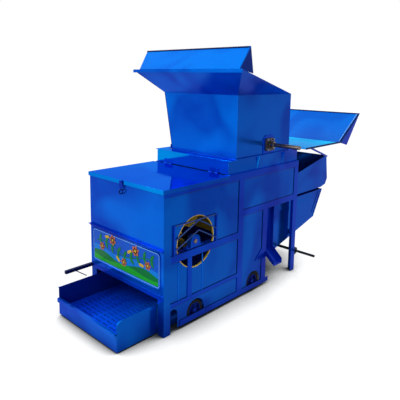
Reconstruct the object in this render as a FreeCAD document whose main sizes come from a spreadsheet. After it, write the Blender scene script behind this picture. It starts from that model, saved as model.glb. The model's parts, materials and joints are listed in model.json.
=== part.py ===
import FreeCAD, Part
import math
import os
import re
import Sketcher

# Peanut thresher: an angle-iron frame clad in sheet, a fan behind round side inlets,
# a toothed drum under the hopper, and a shaking shoe whose front end is the open tray.
# X runs across the machine (+X is the drive side), Y from the front face to the rear,
# Z up from the ground. Pieces are drawn from the foot of the front face's mid-plane, and
# each finished sub-part is then placed about the ground point under the machine's middle.

SIZES = {
    # casing and frame
    "box_width": 820, "box_height": 1000, "skin": 3, "leg": 60, "angle_wall": 6,
    "mid_post": 770, "third_post": 1090, "rear_post": 1540,
    "top_rail": 50, "mid_rail": 495, "mid_rail_height": 50, "low_rail": 185, "low_rail_height": 30,
    "foot_rail": 25, "foot_rail_height": 40, "foot_rail_start": 150, "foot_rail_end": 1190,
    "rear_rib": 660, "rear_rib_height": 50,
    "gusset_rise": 86, "gusset_run": 90, "gusset_base": 248,
    # front face
    "front_bottom": 290, "sill_height": 33, "rib_level": 586, "rib_height": 21, "rib_reach": 22,
    "rib_wall": 4,
    "plate_setback": 27, "plate_bottom": 323, "plate_height": 260, "plate_corner": 30,
    "plate_depth": 4, "plate_rim": 9,
    # lid and latch
    "lid_overhang": 12, "lid_lip": 26, "lid_gap": 0.5, "hinge_setback": 10, "lid_seat": 40,
    "hinge_spread": 250, "knuckle": 9, "hinge_pin": 5, "knuckle_length": 30, "leaf": 40,
    "hasp_offset": -12, "hasp_width": 34, "hasp_drop": 52, "hasp_pin": 3, "ring_radius": 15, "ring_wire": 3,
    # fan
    "fan_place": 305, "inlet_radius": 185, "inlet_ring": 12, "scroll_radius": 236, "fan_bore": 15,
    "fan_tip": 222, "blade_root": 82, "blade_clear": 50, "blade_count": 4, "blade_turn": 45,
    "spider_setback": 85, "spider_root": 4, "spider_end": 20,
    "hub_radius": 30, "hub_length": 40, "strut_offset": 83, "strut_width": 42,
    "guide_height": 205, "guide_front_gap": 36, "guide_rear_gap": 16, "guide_width": 14,
    # bearings
    "block_height": 48, "block_radius": 38, "block_base": 82, "block_foot": 12, "block_width": 38,
    "crank_block_radius": 31, "crank_block_base": 62, "block_shoulder": 8,
    "flange_size": 52, "flange_plate": 12, "flange_boss": 28, "running": 0.05, "shaft_step": 2,
    # drum and its housing
    "drum_place": 1154, "drum_rise": 186, "drum_bore": 17.5, "drum_seat": 16,
    "drum_gap": 19, "drum_clear": 30,
    "disc_radius": 140, "disc_wall": 8, "bar_depth": 10, "bar_sink": 4, "bar_half": 24, "bar_count": 6,
    "tooth_radius": 7, "tooth_tip": 200, "tooth_count": 8, "concave_inner": 220, "concave_depth": 20,
    "grid_rod": 5, "grid_count": 13, "grid_step": 12, "arc_wall": 8, "shaft_reach": 268, "shaft_tail": 10,
    "collar_radius": 27, "collar_length": 22, "housing_front": 658,
    "housing_height": 110, "rib_share": 0.38, "wall_setback": 22, "stand_setback": 34,
    "stand_height": 152, "stand_half": 75, "stand_wall": 6, "stand_notch": 30,
    # hopper
    "hopper_setback": 20, "shaft_clear": 4, "throat_setback": 116, "hopper_front": 742, "hopper_rear": 1453,
    "hopper_height": 475,
    "hopper_flange": 20, "flare_spread": 180, "flare_reach": 188, "flare_rise": 184, "rim_height": 25,
    "guard_left_inset": 80, "guard_right_inset": 25, "guard_inset": 32, "guard_lean": 129, "guard_rise": 156,
    "guard_foot": 155, "guard_foot_drop": 29, "lug_place": 830, "lug_height": 22, "lug_width": 24,
    # shaking shoe and tray
    "shoe_setback": 70, "tray_front": 330, "tray_level": 12, "floor_bend": 480, "shoe_tail": 2031,
    "tail_level": 392, "shoe_rear": 2180, "shoe_top": 641, "shoe_step": 1180, "tray_wall_end": 700,
    "tray_wall": 203, "tray_corner": 36, "tray_left_corner": 6,
    "lip_level": 138, "lip_height": 30, "lip_reach": 16,
    "sieve_height": 46, "sieve_clear": 1, "slot_length": 62, "slot_width": 7, "slot_columns": 7,
    "slot_rows": 20, "slot_margin": 60, "stiffener": 24, "stiffener_wall": 4,
    # rockers and hangers
    "rocker_offset": 52, "rocker_low": 330, "rocker_length": 187, "rocker_wall": 6, "rocker_half": 13,
    "pivot_pin": 8, "pivot_clear": 0.3, "rocker_gap": 3, "bracket_wall": 6, "hanger_place": 60,
    "hanger_high": 372, "eye_wall": 9,
    # eccentric drive
    "crank_level": 165, "crank_offset": 34, "crank_radius": 12.5, "crank_seat": 11, "crank_reach": 179,
    "throw": 6, "disc_outer": 32, "crank_disc_wall": 24, "strap_wall": 10, "rod_place": 150,
    "rod_wall": 12, "rod_half": 15, "small_end": 1262, "small_end_level": 146, "ear_wall": 8, "ear_half": 22,
    "ear_gap": 3,
    # outlets and table
    "chute_width": 118, "chute_knee": 290, "chute_spread": 80, "chute_end": 185, "chute_cheek": 40,
    "chute_clear": 16,
    "tail_clear": 70, "tail_bottom": 668, "tail_drop": 28, "tail_slope": 126, "tail_knee": 740,
    "tail_heel_gap": 113, "tail_setback": 37,
    "table_spread": 90, "table_lap": 30, "table_fold": 2196, "table_rear": 2570, "table_rise": 262,
    "table_rib": 30,
    "table_rib_place": 180, "gusset_foot": 2326, "gusset_drop": 32, "stay_radius": 9, "stay_top": 1740,
    # road wheels
    "wheel_radius": 80, "tyre_depth": 24, "wheel_width": 38, "front_axle": 310, "rear_axle": 985,
    "wheel_setback": 50, "axle_radius": 9, "wheel_hub": 20, "arch_clear": 8, "arm_width": 50,
    "web_wall": 8, "window_count": 5, "window_radius": 10,
    "tread_corner": 4, "tread_shoulder": 6, "rim_edge": 2,
    "skirt_slot": 42,
    # tray stay at the left front corner
    "stay_reach": 240, "stay_bar": 24, "stay_level": 266, "stay_wire": 3.5,
    "hook_high": 0.7, "hook_low": 0.36,
}

# Sizes that follow from the ones above, each held in the sheet as a formula
FOLLOWING = {
    "plate_half": "box_width / 2 - plate_setback",
    "hasp_clear": "1.5 * hasp_pin",
    "chute_lip": "1.3 * skin",
    "lid_hinge": "housing_front - hinge_setback",
    "lid_rear": "lid_hinge - hinge_setback",
    "blade_half": "box_width / 2 - leg - blade_clear",
    "spider_place": "blade_half - spider_setback",
    "strut_place": "fan_place - strut_offset",
    "guide_front": "fan_place - inlet_radius - guide_front_gap",
    "guide_rear": "fan_place + inlet_radius + guide_rear_gap",
    "housing_rear": "rear_post + leg",
    "hopper_half": "box_width / 2 - hopper_setback",
    "throat_left": "box_width / 2 - throat_setback",
    "drum_level": "box_height + drum_rise",
    "drum_right": "hopper_half - drum_clear",
    "drum_left": "throat_left - drum_gap",
    "shaft_right": "box_width / 2 + shaft_reach",
    "shaft_left": "throat_left + stand_setback + stand_wall + flange_boss + shaft_tail",
    "flare_half": "hopper_half + flare_spread",
    "guard_half": "flare_half - guard_inset",
    "guard_low_left": "flare_half - guard_left_inset",
    "guard_low_right": "flare_half - guard_right_inset",
    "shoe_half": "box_width / 2 - shoe_setback",
    "rocker_place": "housing_rear + rocker_offset",
    "crank_left": "box_width / 2 - 2 * angle_wall",
    "crank_right": "box_width / 2 + crank_reach",
    "chute_back": "shoe_half + chute_clear",
    "chute_reach": "box_width / 2 + chute_spread",
    "tail_rear": "shoe_rear + tail_clear",
    "tail_heel": "tail_rear - tail_heel_gap",
    "tail_top": "box_height - tail_drop",
    "table_half": "box_width / 2 + table_spread",
    "table_top": "box_height + housing_height + table_rise",
    "gusset_level": "box_height + housing_height - gusset_drop",
    "wheel_inner": "box_width / 2 - wheel_setback",
    "arch_radius": "wheel_radius + arch_clear",
}

doc = FreeCAD.newDocument("peanut_thresher")
sheet = doc.addObject("Spreadsheet::Sheet", "sizes")
formulas = {alias: f"={formula}" for alias, formula in FOLLOWING.items()}
for row, (alias, size) in enumerate({**SIZES, **formulas}.items(), 1):
    sheet.set(f"A{row}", alias)
    sheet.setAlias(f"B{row}", alias)
    sheet.set(f"B{row}", str(size))
worked = doc.addObject("Spreadsheet::Sheet", "worked")
doc.recompute()

# Places that several pieces share, worked out from the driving sizes
HALF = "(box_width / 2)"
INNER = f"({HALF} - angle_wall)"
LEG_EDGE = f"({HALF} - leg)"
SKIN_IN = f"({INNER} - skin)"
RAIL_UNDER = "(box_height - angle_wall)"
MID_TOP = "(mid_rail + mid_rail_height)"
FAN_LEVEL = f"({MID_TOP} + block_height)"
BLOCK_MID = f"({HALF} - leg / 2)"
HOUSING_TOP = "(box_height + housing_height)"
WALL_OUT = f"({HALF} - wall_setback)"
HOPPER_TOP = f"({HOUSING_TOP} + hopper_height)"
FLARE_EDGE = "(hopper_front - flare_reach)"
FLARE_TOP = f"({HOPPER_TOP} + flare_rise)"
CRANK_PLACE = "(rear_post + leg + crank_offset)"
SHOE_IN = "(shoe_half - skin)"
SLOPE = "((tail_level - tray_level) / (shoe_tail - floor_bend))"
HINGE_LEVEL = "(box_height + lid_gap + skin / 2)"
TRAY_TOP = "(tray_level + tray_wall)"
ROCKER_IN = "(shoe_half + rocker_gap)"
ROCKER_OUT = "(shoe_half + rocker_gap + rocker_wall)"
BRACKET_IN = f"({ROCKER_OUT} + rocker_gap)"
CHUTE_FRONT = "(third_post + leg)"

CENTRE_X = "((shaft_right - flare_half - skin) / 2)"
CENTRE_Y = "((table_rear - tray_front - lip_reach) / 2)"

PARTS = []
NAMES = {*SIZES, *FOLLOWING}
WORDS = re.compile(r"[a-z_]+")


def refer(formula):
    """Point each size word of a formula at its cell in the sheet."""
    return WORDS.sub(lambda w: f"sizes.{w.group()}" if w.group() in NAMES else w.group(), str(formula))


def number(formula):
    """The value of a formula, in millimetres."""
    worked.set("A1", "=" + refer(formula))
    worked.recompute()
    return float(worked.get("A1"))


def bind(thing, **formulas):
    """Bind properties of a document object to formulas of the sheet."""
    for name, formula in formulas.items():
        thing.setExpression(name, refer(formula))
    return thing


def place(thing, x=0, y=0, z=0):
    """Set down an object at a point given by formulas."""
    for axis, formula in zip("xyz", (x, y, z)):
        thing.setExpression(f"Placement.Base.{axis}", refer(formula))
    return thing


def new_body(name):
    return doc.addObject("PartDesign::Body", name)


PLANES = {"X": "YZ_Plane", "Y": "XZ_Plane", "Z": "XY_Plane"}


def new_sketch(body, axis, start):
    """A sketch square to an axis, at a distance from the body's origin."""
    sketch = body.newObject("Sketcher::SketchObject", f"{body.Name}_sketch")
    plane = next(f for f in body.Origin.OriginFeatures if f.Role == PLANES[axis])
    sketch.AttachmentSupport = [(plane, "")]
    sketch.MapMode = "FlatFace"
    sign = "-1 * " if axis == "Y" else ""
    sketch.setExpression(".AttachmentOffset.Base.z", refer(f"{sign}({start})"))
    return sketch


def pin_down(sketch, geometry, point, formulas, values):
    """Tie a point of the sketch to its origin by two dimensions."""
    for kind, formula, value in zip(("DistanceX", "DistanceY"), formulas, values):
        constraint = Sketcher.Constraint(kind, -1, 1, geometry, point, value)
        sketch.setExpression(f"Constraints[{sketch.addConstraint(constraint)}]", refer(formula))


def draw(sketch, points=(), circles=()):
    """Draw a closed outline of straight lines, and circles, all bound to formulas."""
    corners = [FreeCAD.Vector(number(u), number(v), 0) for u, v in points]
    first = sketch.GeometryCount
    count = len(corners)
    for i in range(count):
        sketch.addGeometry(Part.LineSegment(corners[i], corners[(i + 1) % count]))
    for i in range(count):
        sketch.addConstraint(Sketcher.Constraint("Coincident", first + i, 2, first + (i + 1) % count, 1))
    for i in range(count):
        pin_down(sketch, first + i, 1, points[i], (corners[i].x, corners[i].y))
    for u, v, radius in circles:
        middle = FreeCAD.Vector(number(u), number(v), 0)
        ring = sketch.addGeometry(Part.Circle(middle, FreeCAD.Vector(0, 0, 1), number(radius)))
        pin_down(sketch, ring, 3, (u, v), (middle.x, middle.y))
        constraint = sketch.addConstraint(Sketcher.Constraint("Radius", ring, number(radius)))
        sketch.setExpression(f"Constraints[{constraint}]", refer(radius))
    return sketch


def pad(body, axis, start, depth, points=(), circles=()):
    """Add material from a start plane, towards the positive axis."""
    feature = body.newObject("PartDesign::Pad", f"{body.Name}_pad")
    feature.Profile = draw(new_sketch(body, axis, start), points, circles)
    feature.Reversed = axis == "Y"
    return bind(feature, Length=depth)


def pocket(body, axis, start, depth, points=(), circles=()):
    """Cut material from a start plane, towards the positive axis."""
    doc.recompute()
    before = body.Shape.Volume
    feature = body.newObject("PartDesign::Pocket", f"{body.Name}_pocket")
    feature.Profile = draw(new_sketch(body, axis, start), points, circles)
    feature.Reversed = axis != "Y"
    bind(feature, Length=depth)
    doc.recompute()
    if body.Shape.Volume >= before:
        raise RuntimeError(f"{feature.Name} cuts nothing")
    return feature


def plate(name, axis, start, depth, points=(), circles=()):
    """A flat piece cut to an outline."""
    body = new_body(name)
    pad(body, axis, start, depth, points, circles)
    return body


def turned(name, points, axis="X"):
    """A turned piece about its own axis, from a half outline of (along, radius)."""
    body = new_body(name)
    feature = body.newObject("PartDesign::Revolution", f"{name}_turn")
    sketch = draw(new_sketch(body, "Z", 0), points)
    feature.Profile = sketch
    feature.ReferenceAxis = (sketch, ["H_Axis"])
    feature.Angle = 360
    return body


def around(body, feature, count):
    """Repeat a feature around the body's own X axis."""
    pattern = body.newObject("PartDesign::PolarPattern", f"{body.Name}_ring")
    pattern.Originals = [feature]
    axis = next(f for f in body.Origin.OriginFeatures if f.Role == "X_Axis")
    pattern.Axis = (axis, [""])
    pattern.Angle = 360
    bind(pattern, Occurrences=count)
    body.Tip = pattern
    return pattern


def block(name, x, y, z, width, depth, height):
    """A rectangular bar or plate with its low corner at x, y, z."""
    box = doc.addObject("Part::Box", name)
    bind(box, Length=width, Width=depth, Height=height)
    return place(box, x, y, z)


def rod(name, x, y, z, radius, length):
    """A round bar along X from its low end."""
    bar = doc.addObject("Part::Cylinder", name)
    bar.Placement.Rotation = FreeCAD.Rotation(FreeCAD.Vector(0, 1, 0), 90)
    bind(bar, Radius=radius, Height=length)
    return place(bar, x, y, z)


def mirrored(thing):
    """The left-hand twin of a right-hand piece."""
    twin = doc.addObject("Part::Mirroring", f"{thing.Name}_left")
    twin.Source = thing
    twin.Normal = (1, 0, 0)
    return twin


def sub_part(label, *members):
    """Gather the solids of one sub-part and set it down in the frame of the whole machine."""
    bundle = doc.addObject("Part::Compound", label)
    bundle.Links = list(members)
    bundle.Label = label
    PARTS.append(bundle)
    return place(bundle, f"-1 * {CENTRE_X}", f"-1 * {CENTRE_Y}", 0)


def both(*things):
    """Right-hand pieces with their left-hand twins."""
    return [twin for thing in things for twin in (thing, mirrored(thing))]


def corner_rounded(body, axis, radius, spots):
    """Round the corners of a plate that lie at the given places."""
    doc.recompute()
    base = body.Tip
    others = [i for i in range(3) if "XYZ"[i] != axis]
    wanted = [tuple(number(f) for f in spot) for spot in spots]
    names = []
    for index, edge in enumerate(base.Shape.Edges, 1):
        if len(edge.Vertexes) != 2:
            continue
        ends = [v.Point for v in edge.Vertexes]
        flat = [tuple(end[i] for i in others) for end in ends]
        if all(abs(flat[0][i] - flat[1][i]) < 0.001 for i in (0, 1)):
            if any(math.dist(flat[0], spot) < 0.01 for spot in wanted):
                names.append(f"Edge{index}")
    if len(names) != len(wanted):
        raise RuntimeError(f"{body.Name}: {len(names)} corners found of {len(wanted)}")
    fillet = body.newObject("PartDesign::Fillet", f"{body.Name}_round")
    fillet.Base = (base, names)
    bind(fillet, Radius=radius)
    body.Tip = fillet
    return body


def rectangle(u0, v0, u1, v1):
    return [(u0, v0), (u1, v0), (u1, v1), (u0, v1)]


def sheet_panel(name, corners):
    """A flat panel of sheet metal between corners in space, thick towards its outer side."""
    points = [FreeCAD.Vector(*(number(f) for f in corner)) for corner in corners]
    normal = (points[1] - points[0]).cross(points[2] - points[0]).normalize()
    face = Part.Face(Part.makePolygon(points + points[:1]))
    panel = doc.addObject("Part::Feature", name)
    panel.Shape = face.extrude(normal * number("skin"))
    return panel


# Frame: posts and rails of angle iron

def angle_post(name, edge, flange_at_rear, bottom, top):
    """An upright angle: one leg faces out, the other points into the machine."""
    near, far = f"({edge})", f"({edge} + leg)"
    back, step = (far, f"({far} - angle_wall)") if flange_at_rear else (near, f"({near} + angle_wall)")
    free = near if flange_at_rear else far
    outline = [(HALF, back), (HALF, free), (INNER, free), (INNER, step), (LEG_EDGE, step), (LEG_EDGE, back)]
    return plate(name, "Z", bottom, f"{top} - ({bottom})", outline)


def angle_rail(name, bottom, height, flange_on_top, start, end):
    """A level angle along the side: one leg faces out, the other points inwards."""
    low, high = f"({bottom})", f"({bottom} + {height})"
    back, step = (high, f"({high} - angle_wall)") if flange_on_top else (low, f"({low} + angle_wall)")
    free = low if flange_on_top else high
    outline = [(HALF, back), (HALF, free), (INNER, free), (INNER, step), (LEG_EDGE, step), (LEG_EDGE, back)]
    return plate(name, "Y", start, f"{end} - ({start})", outline)


def build_frame():
    under_rail = "(box_height - top_rail)"
    on_foot = "(foot_rail + foot_rail_height)"
    sub_part("front_posts", *both(angle_post("front_post", "0", False, "0", under_rail)))
    sub_part("inner_posts", *both(
        angle_post("mid_angle", "mid_post", False, on_foot, under_rail),
        angle_post("third_angle", "third_post", True, on_foot, "rear_rib")))
    sub_part("rear_posts", *both(angle_post("rear_angle", "rear_post", True, "0", under_rail)))
    top_angle = angle_rail("top_angle", under_rail, "top_rail", True, "0", "rear_post + leg")
    sub_part("top_rails", *both(top_angle))
    foot = block("foot_bar", INNER, "foot_rail_start", "foot_rail", "angle_wall",
                 "foot_rail_end - foot_rail_start", "foot_rail_height")
    gusset = plate("corner_gusset", "X", INNER, "angle_wall",
                   [("third_post", "gusset_base"), ("third_post", "gusset_base + gusset_rise"),
                    ("third_post - gusset_run", "gusset_base")])
    sub_part("side_rails", *both(
        angle_rail("mid_side_angle", "mid_rail", "mid_rail_height", True, "leg", "mid_post"),
        angle_rail("low_side_angle", "low_rail", "low_rail_height", False, "leg", "mid_post"),
        angle_rail("rear_side_angle", "rear_rib", "rear_rib_height", False, "mid_post + leg", "rear_post"),
        foot, gusset))
    sill = block("sill_bar", f"-{HALF}", "-1 * angle_wall", "front_bottom - sill_height", "box_width",
                 "angle_wall", "sill_height")
    face, reach, top = "(-1 * skin)", "(-1 * skin - rib_reach)", "(rib_level + rib_height)"
    rib = plate("front_rib_angle", "X", f"-{HALF} - skin", "box_width + 2 * skin",
                [(face, "rib_level"), (f"{face} - rib_wall", "rib_level"),
                 (f"{face} - rib_wall", f"{top} - rib_wall"),
                 (reach, f"{top} - rib_wall"), (reach, top), (face, top)])
    mid_tie = block("mid_tie", f"-{SKIN_IN}", "mid_post + angle_wall", "rear_rib + leg", f"2 * {SKIN_IN}",
                    "angle_wall", "leg")
    rear_tie = block("rear_tie", f"-{SKIN_IN}", "rear_post + leg - 2 * angle_wall", "rear_rib + 2 * leg",
                     f"2 * {SKIN_IN}", "angle_wall", "leg")
    seat = block("lid_seat_bar", f"-{LEG_EDGE}", "housing_front - lid_seat",
                 f"{HINGE_LEVEL} - knuckle - lid_gap - angle_wall",
                 f"2 * {LEG_EDGE}", "lid_seat", "angle_wall")
    sub_part("cross_rails", sill, rib, mid_tie, rear_tie, seat)


# Cladding: sheets inside the angle frame, with round fan inlets and wheel arches

def build_cladding():
    fan_hole = [("fan_place", FAN_LEVEL, "inlet_radius")]
    for side, hand in (("right", False), ("left", True)):
        sheets = []
        for name, low, high in (("upper", MID_TOP, RAIL_UNDER),
                                ("lower", "low_rail + angle_wall", f"{MID_TOP} - angle_wall")):
            body = plate(f"{name}_sheet_{side}", "X", SKIN_IN, "skin",
                         rectangle("angle_wall", low, "mid_post", high))
            pocket(body, "X", f"{SKIN_IN} - 1", "skin + 2", circles=fan_hole)
            sheets.append(mirrored(body) if hand else body)
        sub_part(f"side_panel_{side}", *sheets)
    upper = plate("rear_upper_sheet", "X", SKIN_IN, "skin",
                  rectangle("mid_post + angle_wall", "rear_rib + angle_wall",
                            "rear_post + leg - angle_wall", RAIL_UNDER))
    lower = plate("rear_lower_sheet", "X", SKIN_IN, "skin",
                  rectangle("mid_post + angle_wall", "foot_rail + foot_rail_height",
                            "third_post + leg - angle_wall", "rear_rib"))
    pocket(lower, "X", f"{SKIN_IN} - 1", "skin + 2", circles=[("rear_axle", "wheel_radius", "arch_radius")])
    skirt = plate("skirt_sheet", "X", SKIN_IN, "skin",
                  [("angle_wall", "foot_rail"), ("foot_rail_start", "foot_rail"),
                   ("foot_rail_start", "foot_rail + foot_rail_height"),
                   ("mid_post", "foot_rail + foot_rail_height"), ("mid_post", "low_rail"),
                   ("angle_wall", "low_rail")])
    pocket(skirt, "X", f"{SKIN_IN} - 1", "skin + 2", circles=[("front_axle", "wheel_radius", "arch_radius")])
    slot_mid = "(foot_rail_start - leg)"
    slot_level = "(low_rail - leg)"
    pocket(skirt, "X", f"{SKIN_IN} - 1", "skin + 2", circles=[(slot_mid, slot_level, "skirt_slot")])
    pocket(skirt, "X", f"{SKIN_IN} - 1", "skin + 2",
           rectangle(f"{slot_mid} - skirt_slot", "0", f"{slot_mid} + skirt_slot", slot_level))
    sub_part("rear_panels", *both(upper, lower, skirt))
    front = block("front_sheet", f"-{HALF}", "-1 * skin", "front_bottom", "box_width", "skin",
                  "box_height - front_bottom")
    sub_part("front_panel", front)
    art = plate("front_plate_blank", "Y", "-1 * skin - plate_depth", "plate_depth",
                rectangle("-1 * plate_half", "plate_bottom", "plate_half", "plate_bottom + plate_height"))
    corners = [(x, z) for x in ("-1 * plate_half", "plate_half")
               for z in ("plate_bottom", "plate_bottom + plate_height")]
    corner_rounded(art, "Y", "plate_corner", corners)
    pocket(art, "Y", "-1 * skin - plate_depth - 1", "plate_depth / 2 + 1",
           rectangle("-1 * plate_half + plate_rim", "plate_bottom + plate_rim",
                     "plate_half - plate_rim", "plate_bottom + plate_height - plate_rim"))
    sub_part("front_plate", art)


# Lid, its hinges and the hasp

def build_lid():
    base, outer, front = "(box_height + lid_gap)", f"({HALF} + 2 * skin)", "(-1 * lid_overhang)"
    lid = plate("lid_sheet", "Z", base, "skin", rectangle(f"-{outer}", front, outer, "lid_rear"))
    lips = [rectangle(f"-{outer}", front, outer, f"{front} + skin"),
            rectangle(f"-{outer}", front, f"-{outer} + skin", "lid_rear"),
            rectangle(f"{outer} - skin", front, outer, "lid_rear")]
    for lip in lips:
        pad(lid, "Z", f"{base} - lid_lip", "lid_lip + skin / 2", lip)
    sub_part("lid", lid)
    knuckles = build_lid_hinges(f"({base} + skin)")
    sub_part("lid_fittings", *knuckles, build_hasp(front))


def build_lid_hinges(top):
    """Two knuckle hinges at the drum housing; the knuckles that turn go with the lid."""
    end = "(knuckle_length / 2 + lid_gap)"
    axis = ("lid_hinge", HINGE_LEVEL)
    moving, fixed = [], []
    for side, middle in (("right", "hinge_spread"), ("left", "(-1 * hinge_spread)")):
        start = f"{middle} - knuckle_length / 2"
        leaf = plate(f"lid_leaf_{side}", "Z", top, "skin",
                     rectangle(start, "lid_hinge - leaf",
                               f"{start} + knuckle_length", "lid_hinge - hinge_pin - lid_gap"))
        pad(leaf, "X", start, "knuckle_length", circles=[(*axis, "knuckle")])
        pocket(leaf, "X", start, "knuckle_length", circles=[(*axis, "hinge_pin + running")])
        moving.append(leaf)
        low = f"({middle} - {end} - knuckle_length)"
        wall = plate(f"wall_leaf_{side}", "Y", "housing_front - skin", "skin",
                     rectangle(low, f"{HINGE_LEVEL} + knuckle + lid_gap",
                               f"{middle} + {end} + knuckle_length", f"{HINGE_LEVEL} + leaf"))
        for outer in (low, f"{middle} + {end}"):
            pad(wall, "X", outer, "knuckle_length", circles=[(*axis, "knuckle")])
            pad(wall, "X", outer, "knuckle_length",
                rectangle("housing_front - skin", HINGE_LEVEL, "housing_front", f"{HINGE_LEVEL} + leaf / 2"))
        pad(wall, "X", low, f"2 * ({end} + knuckle_length)", circles=[(*axis, "hinge_pin")])
        fixed.append(wall)
    sub_part("lid_hinges", *fixed)
    return moving


def build_hasp(front):
    """A strap and its ring on the front sheet; the strap's hinge pin goes with the lid."""
    face, pivot = f"({front} - hasp_pin - skin)", "(box_height - hasp_pin - skin)"
    left, quarter = "(hasp_offset - hasp_width / 2)", "(hasp_width / 4)"
    strap = plate("hasp_strap", "Y", f"{face} - skin / 2", "skin",
                  rectangle(left, f"{pivot} - hasp_drop", f"{left} + hasp_width", f"{pivot} - hasp_clear"))
    pad(strap, "X", f"{left} + {quarter}", "hasp_width / 2", circles=[(face, pivot, "hasp_pin * 2")])
    pocket(strap, "X", f"{left} + {quarter}", "hasp_width / 2", circles=[(face, pivot, "hasp_pin + running")])
    sub_part("hasp", strap)
    pin = rod("hasp_pin_bar", left, face, pivot, "hasp_pin", "hasp_width")
    ears = [block(f"hasp_ear_{i}", x, f"{face} - hasp_pin", f"{pivot} - hasp_pin",
                  f"{quarter} - lid_gap", f"{front} - {face} + hasp_pin", "2 * hasp_pin")
            for i, x in enumerate((left, f"{left} + 3 * {quarter} + lid_gap"))]
    fused = doc.addObject("Part::MultiFuse", "hasp_hinge_fuse")
    fused.Shapes = [pin] + ears
    middle = ("(-1 * skin - ring_radius + ring_wire / 2)",
              f"({pivot} - hasp_drop - ring_radius - 2 * ring_wire)")
    ring = plate("hasp_ring", "X", "hasp_offset - ring_wire", "2 * ring_wire",
                 circles=[(*middle, "ring_radius + ring_wire"), (*middle, "ring_radius - ring_wire")])
    pocket(ring, "X", "hasp_offset - 2 * ring_wire", "4 * ring_wire",
           rectangle("-1 * skin", f"{middle[1]} - leg", "leg", f"{middle[1]} + leg"))
    sub_part("hasp_staple", ring)
    return fused


# Bearings, shared by the fan, the eccentric shaft and the drum

def pillow_block(name, bore, height, radius, base):
    """A pillow block about its own X axis, with its foot below."""
    start, foot = "(-1 * block_width / 2)", f"(-1 * {height} + block_foot)"
    body = plate(name, "X", start, "block_width", rectangle(f"-1 * {base}", f"-1 * {height}", base, foot))
    pad(body, "X", start, "block_width",
        [(f"-1 * {radius} - block_shoulder", foot), (f"{radius} + block_shoulder", foot), (radius, "0"),
         (f"-1 * {radius}", "0")])
    pad(body, "X", start, "block_width", circles=[("0", "0", radius)])
    pocket(body, "X", start, "block_width", circles=[("0", "0", f"{bore} + running")])
    return body


def build_fan():
    right = pillow_block("fan_block", "fan_bore", "block_height", "block_radius", "block_base")
    sub_part("fan_bearings", *both(place(right, BLOCK_MID, "fan_place", FAN_LEVEL)))
    reach = INNER
    shaft = turned("fan_shaft_bar", [(f"-{reach}", "0"), (f"-{reach}", "fan_bore - 1"),
                                     (f"-{reach} + 1", "fan_bore"),
                                     (f"{reach} - 1", "fan_bore"), (reach, "fan_bore - 1"), (reach, "0")])
    sub_part("fan_shaft", place(shaft, 0, "fan_place", FAN_LEVEL))
    turn = FreeCAD.Rotation(FreeCAD.Vector(1, 0, 0), number("blade_turn"))
    spiders = []
    for i, middle in enumerate(("(-1 * spider_place)", "spider_place")):
        body = plate(f"spider_{i}", "X", f"{middle} - hub_length / 2", "hub_length",
                     circles=[("0", "0", "hub_radius"), ("0", "0", "fan_bore")])
        arm = pad(body, "X", f"{middle} - angle_wall * 2", "angle_wall * 4",
                  rectangle("-1 * angle_wall", "hub_radius - spider_root", "0", "fan_tip - spider_end"))
        around(body, arm, "blade_count")
        body.Placement.Rotation = turn
        spiders.append(place(body, 0, "fan_place", FAN_LEVEL))
    sub_part("fan_spiders", *spiders)
    blades = new_body("blade_ring")
    blade = pad(blades, "X", "-1 * blade_half", "2 * blade_half",
                rectangle("0", "blade_root", "skin", "fan_tip"))
    around(blades, blade, "blade_count")
    blades.Placement.Rotation = turn
    sub_part("fan_blades", place(blades, 0, "fan_place", FAN_LEVEL))
    scroll = plate("scroll_ring", "X", f"-{LEG_EDGE}", f"2 * {LEG_EDGE}",
                   circles=[("0", "0", "scroll_radius + skin"), ("0", "0", "scroll_radius")])
    pocket(scroll, "X", f"-{LEG_EDGE}", f"2 * {LEG_EDGE}",
           rectangle("0", "-1 * scroll_radius - leg", "scroll_radius + leg", "0"))
    sub_part("fan_scroll", place(scroll, 0, "fan_place", FAN_LEVEL))
    hoop = plate("inlet_hoop", "X", f"{INNER} - inlet_ring", "inlet_ring",
                 circles=[("fan_place", FAN_LEVEL, "inlet_radius"),
                          ("fan_place", FAN_LEVEL, "inlet_radius - angle_wall")])
    pocket(hoop, "X", f"{INNER} - inlet_ring", "inlet_ring",
           rectangle("fan_place - inlet_radius - leg", f"{MID_TOP} - angle_wall",
                     "fan_place + inlet_radius + leg", MID_TOP))
    sub_part("inlet_rings", *both(hoop))
    strut = block("inlet_strut", INNER, "strut_place", "low_rail + low_rail_height",
                  "angle_wall", "strut_width",
                  "mid_rail - low_rail - low_rail_height")
    guides = [block(f"guide_{i}", INNER, edge, MID_TOP, "2 * angle_wall", "guide_width", "guide_height")
              for i, edge in enumerate(("guide_front", "guide_rear"))]
    sub_part("inlet_struts", *both(strut, *guides))


# Drum, concave and housing under the hopper

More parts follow.
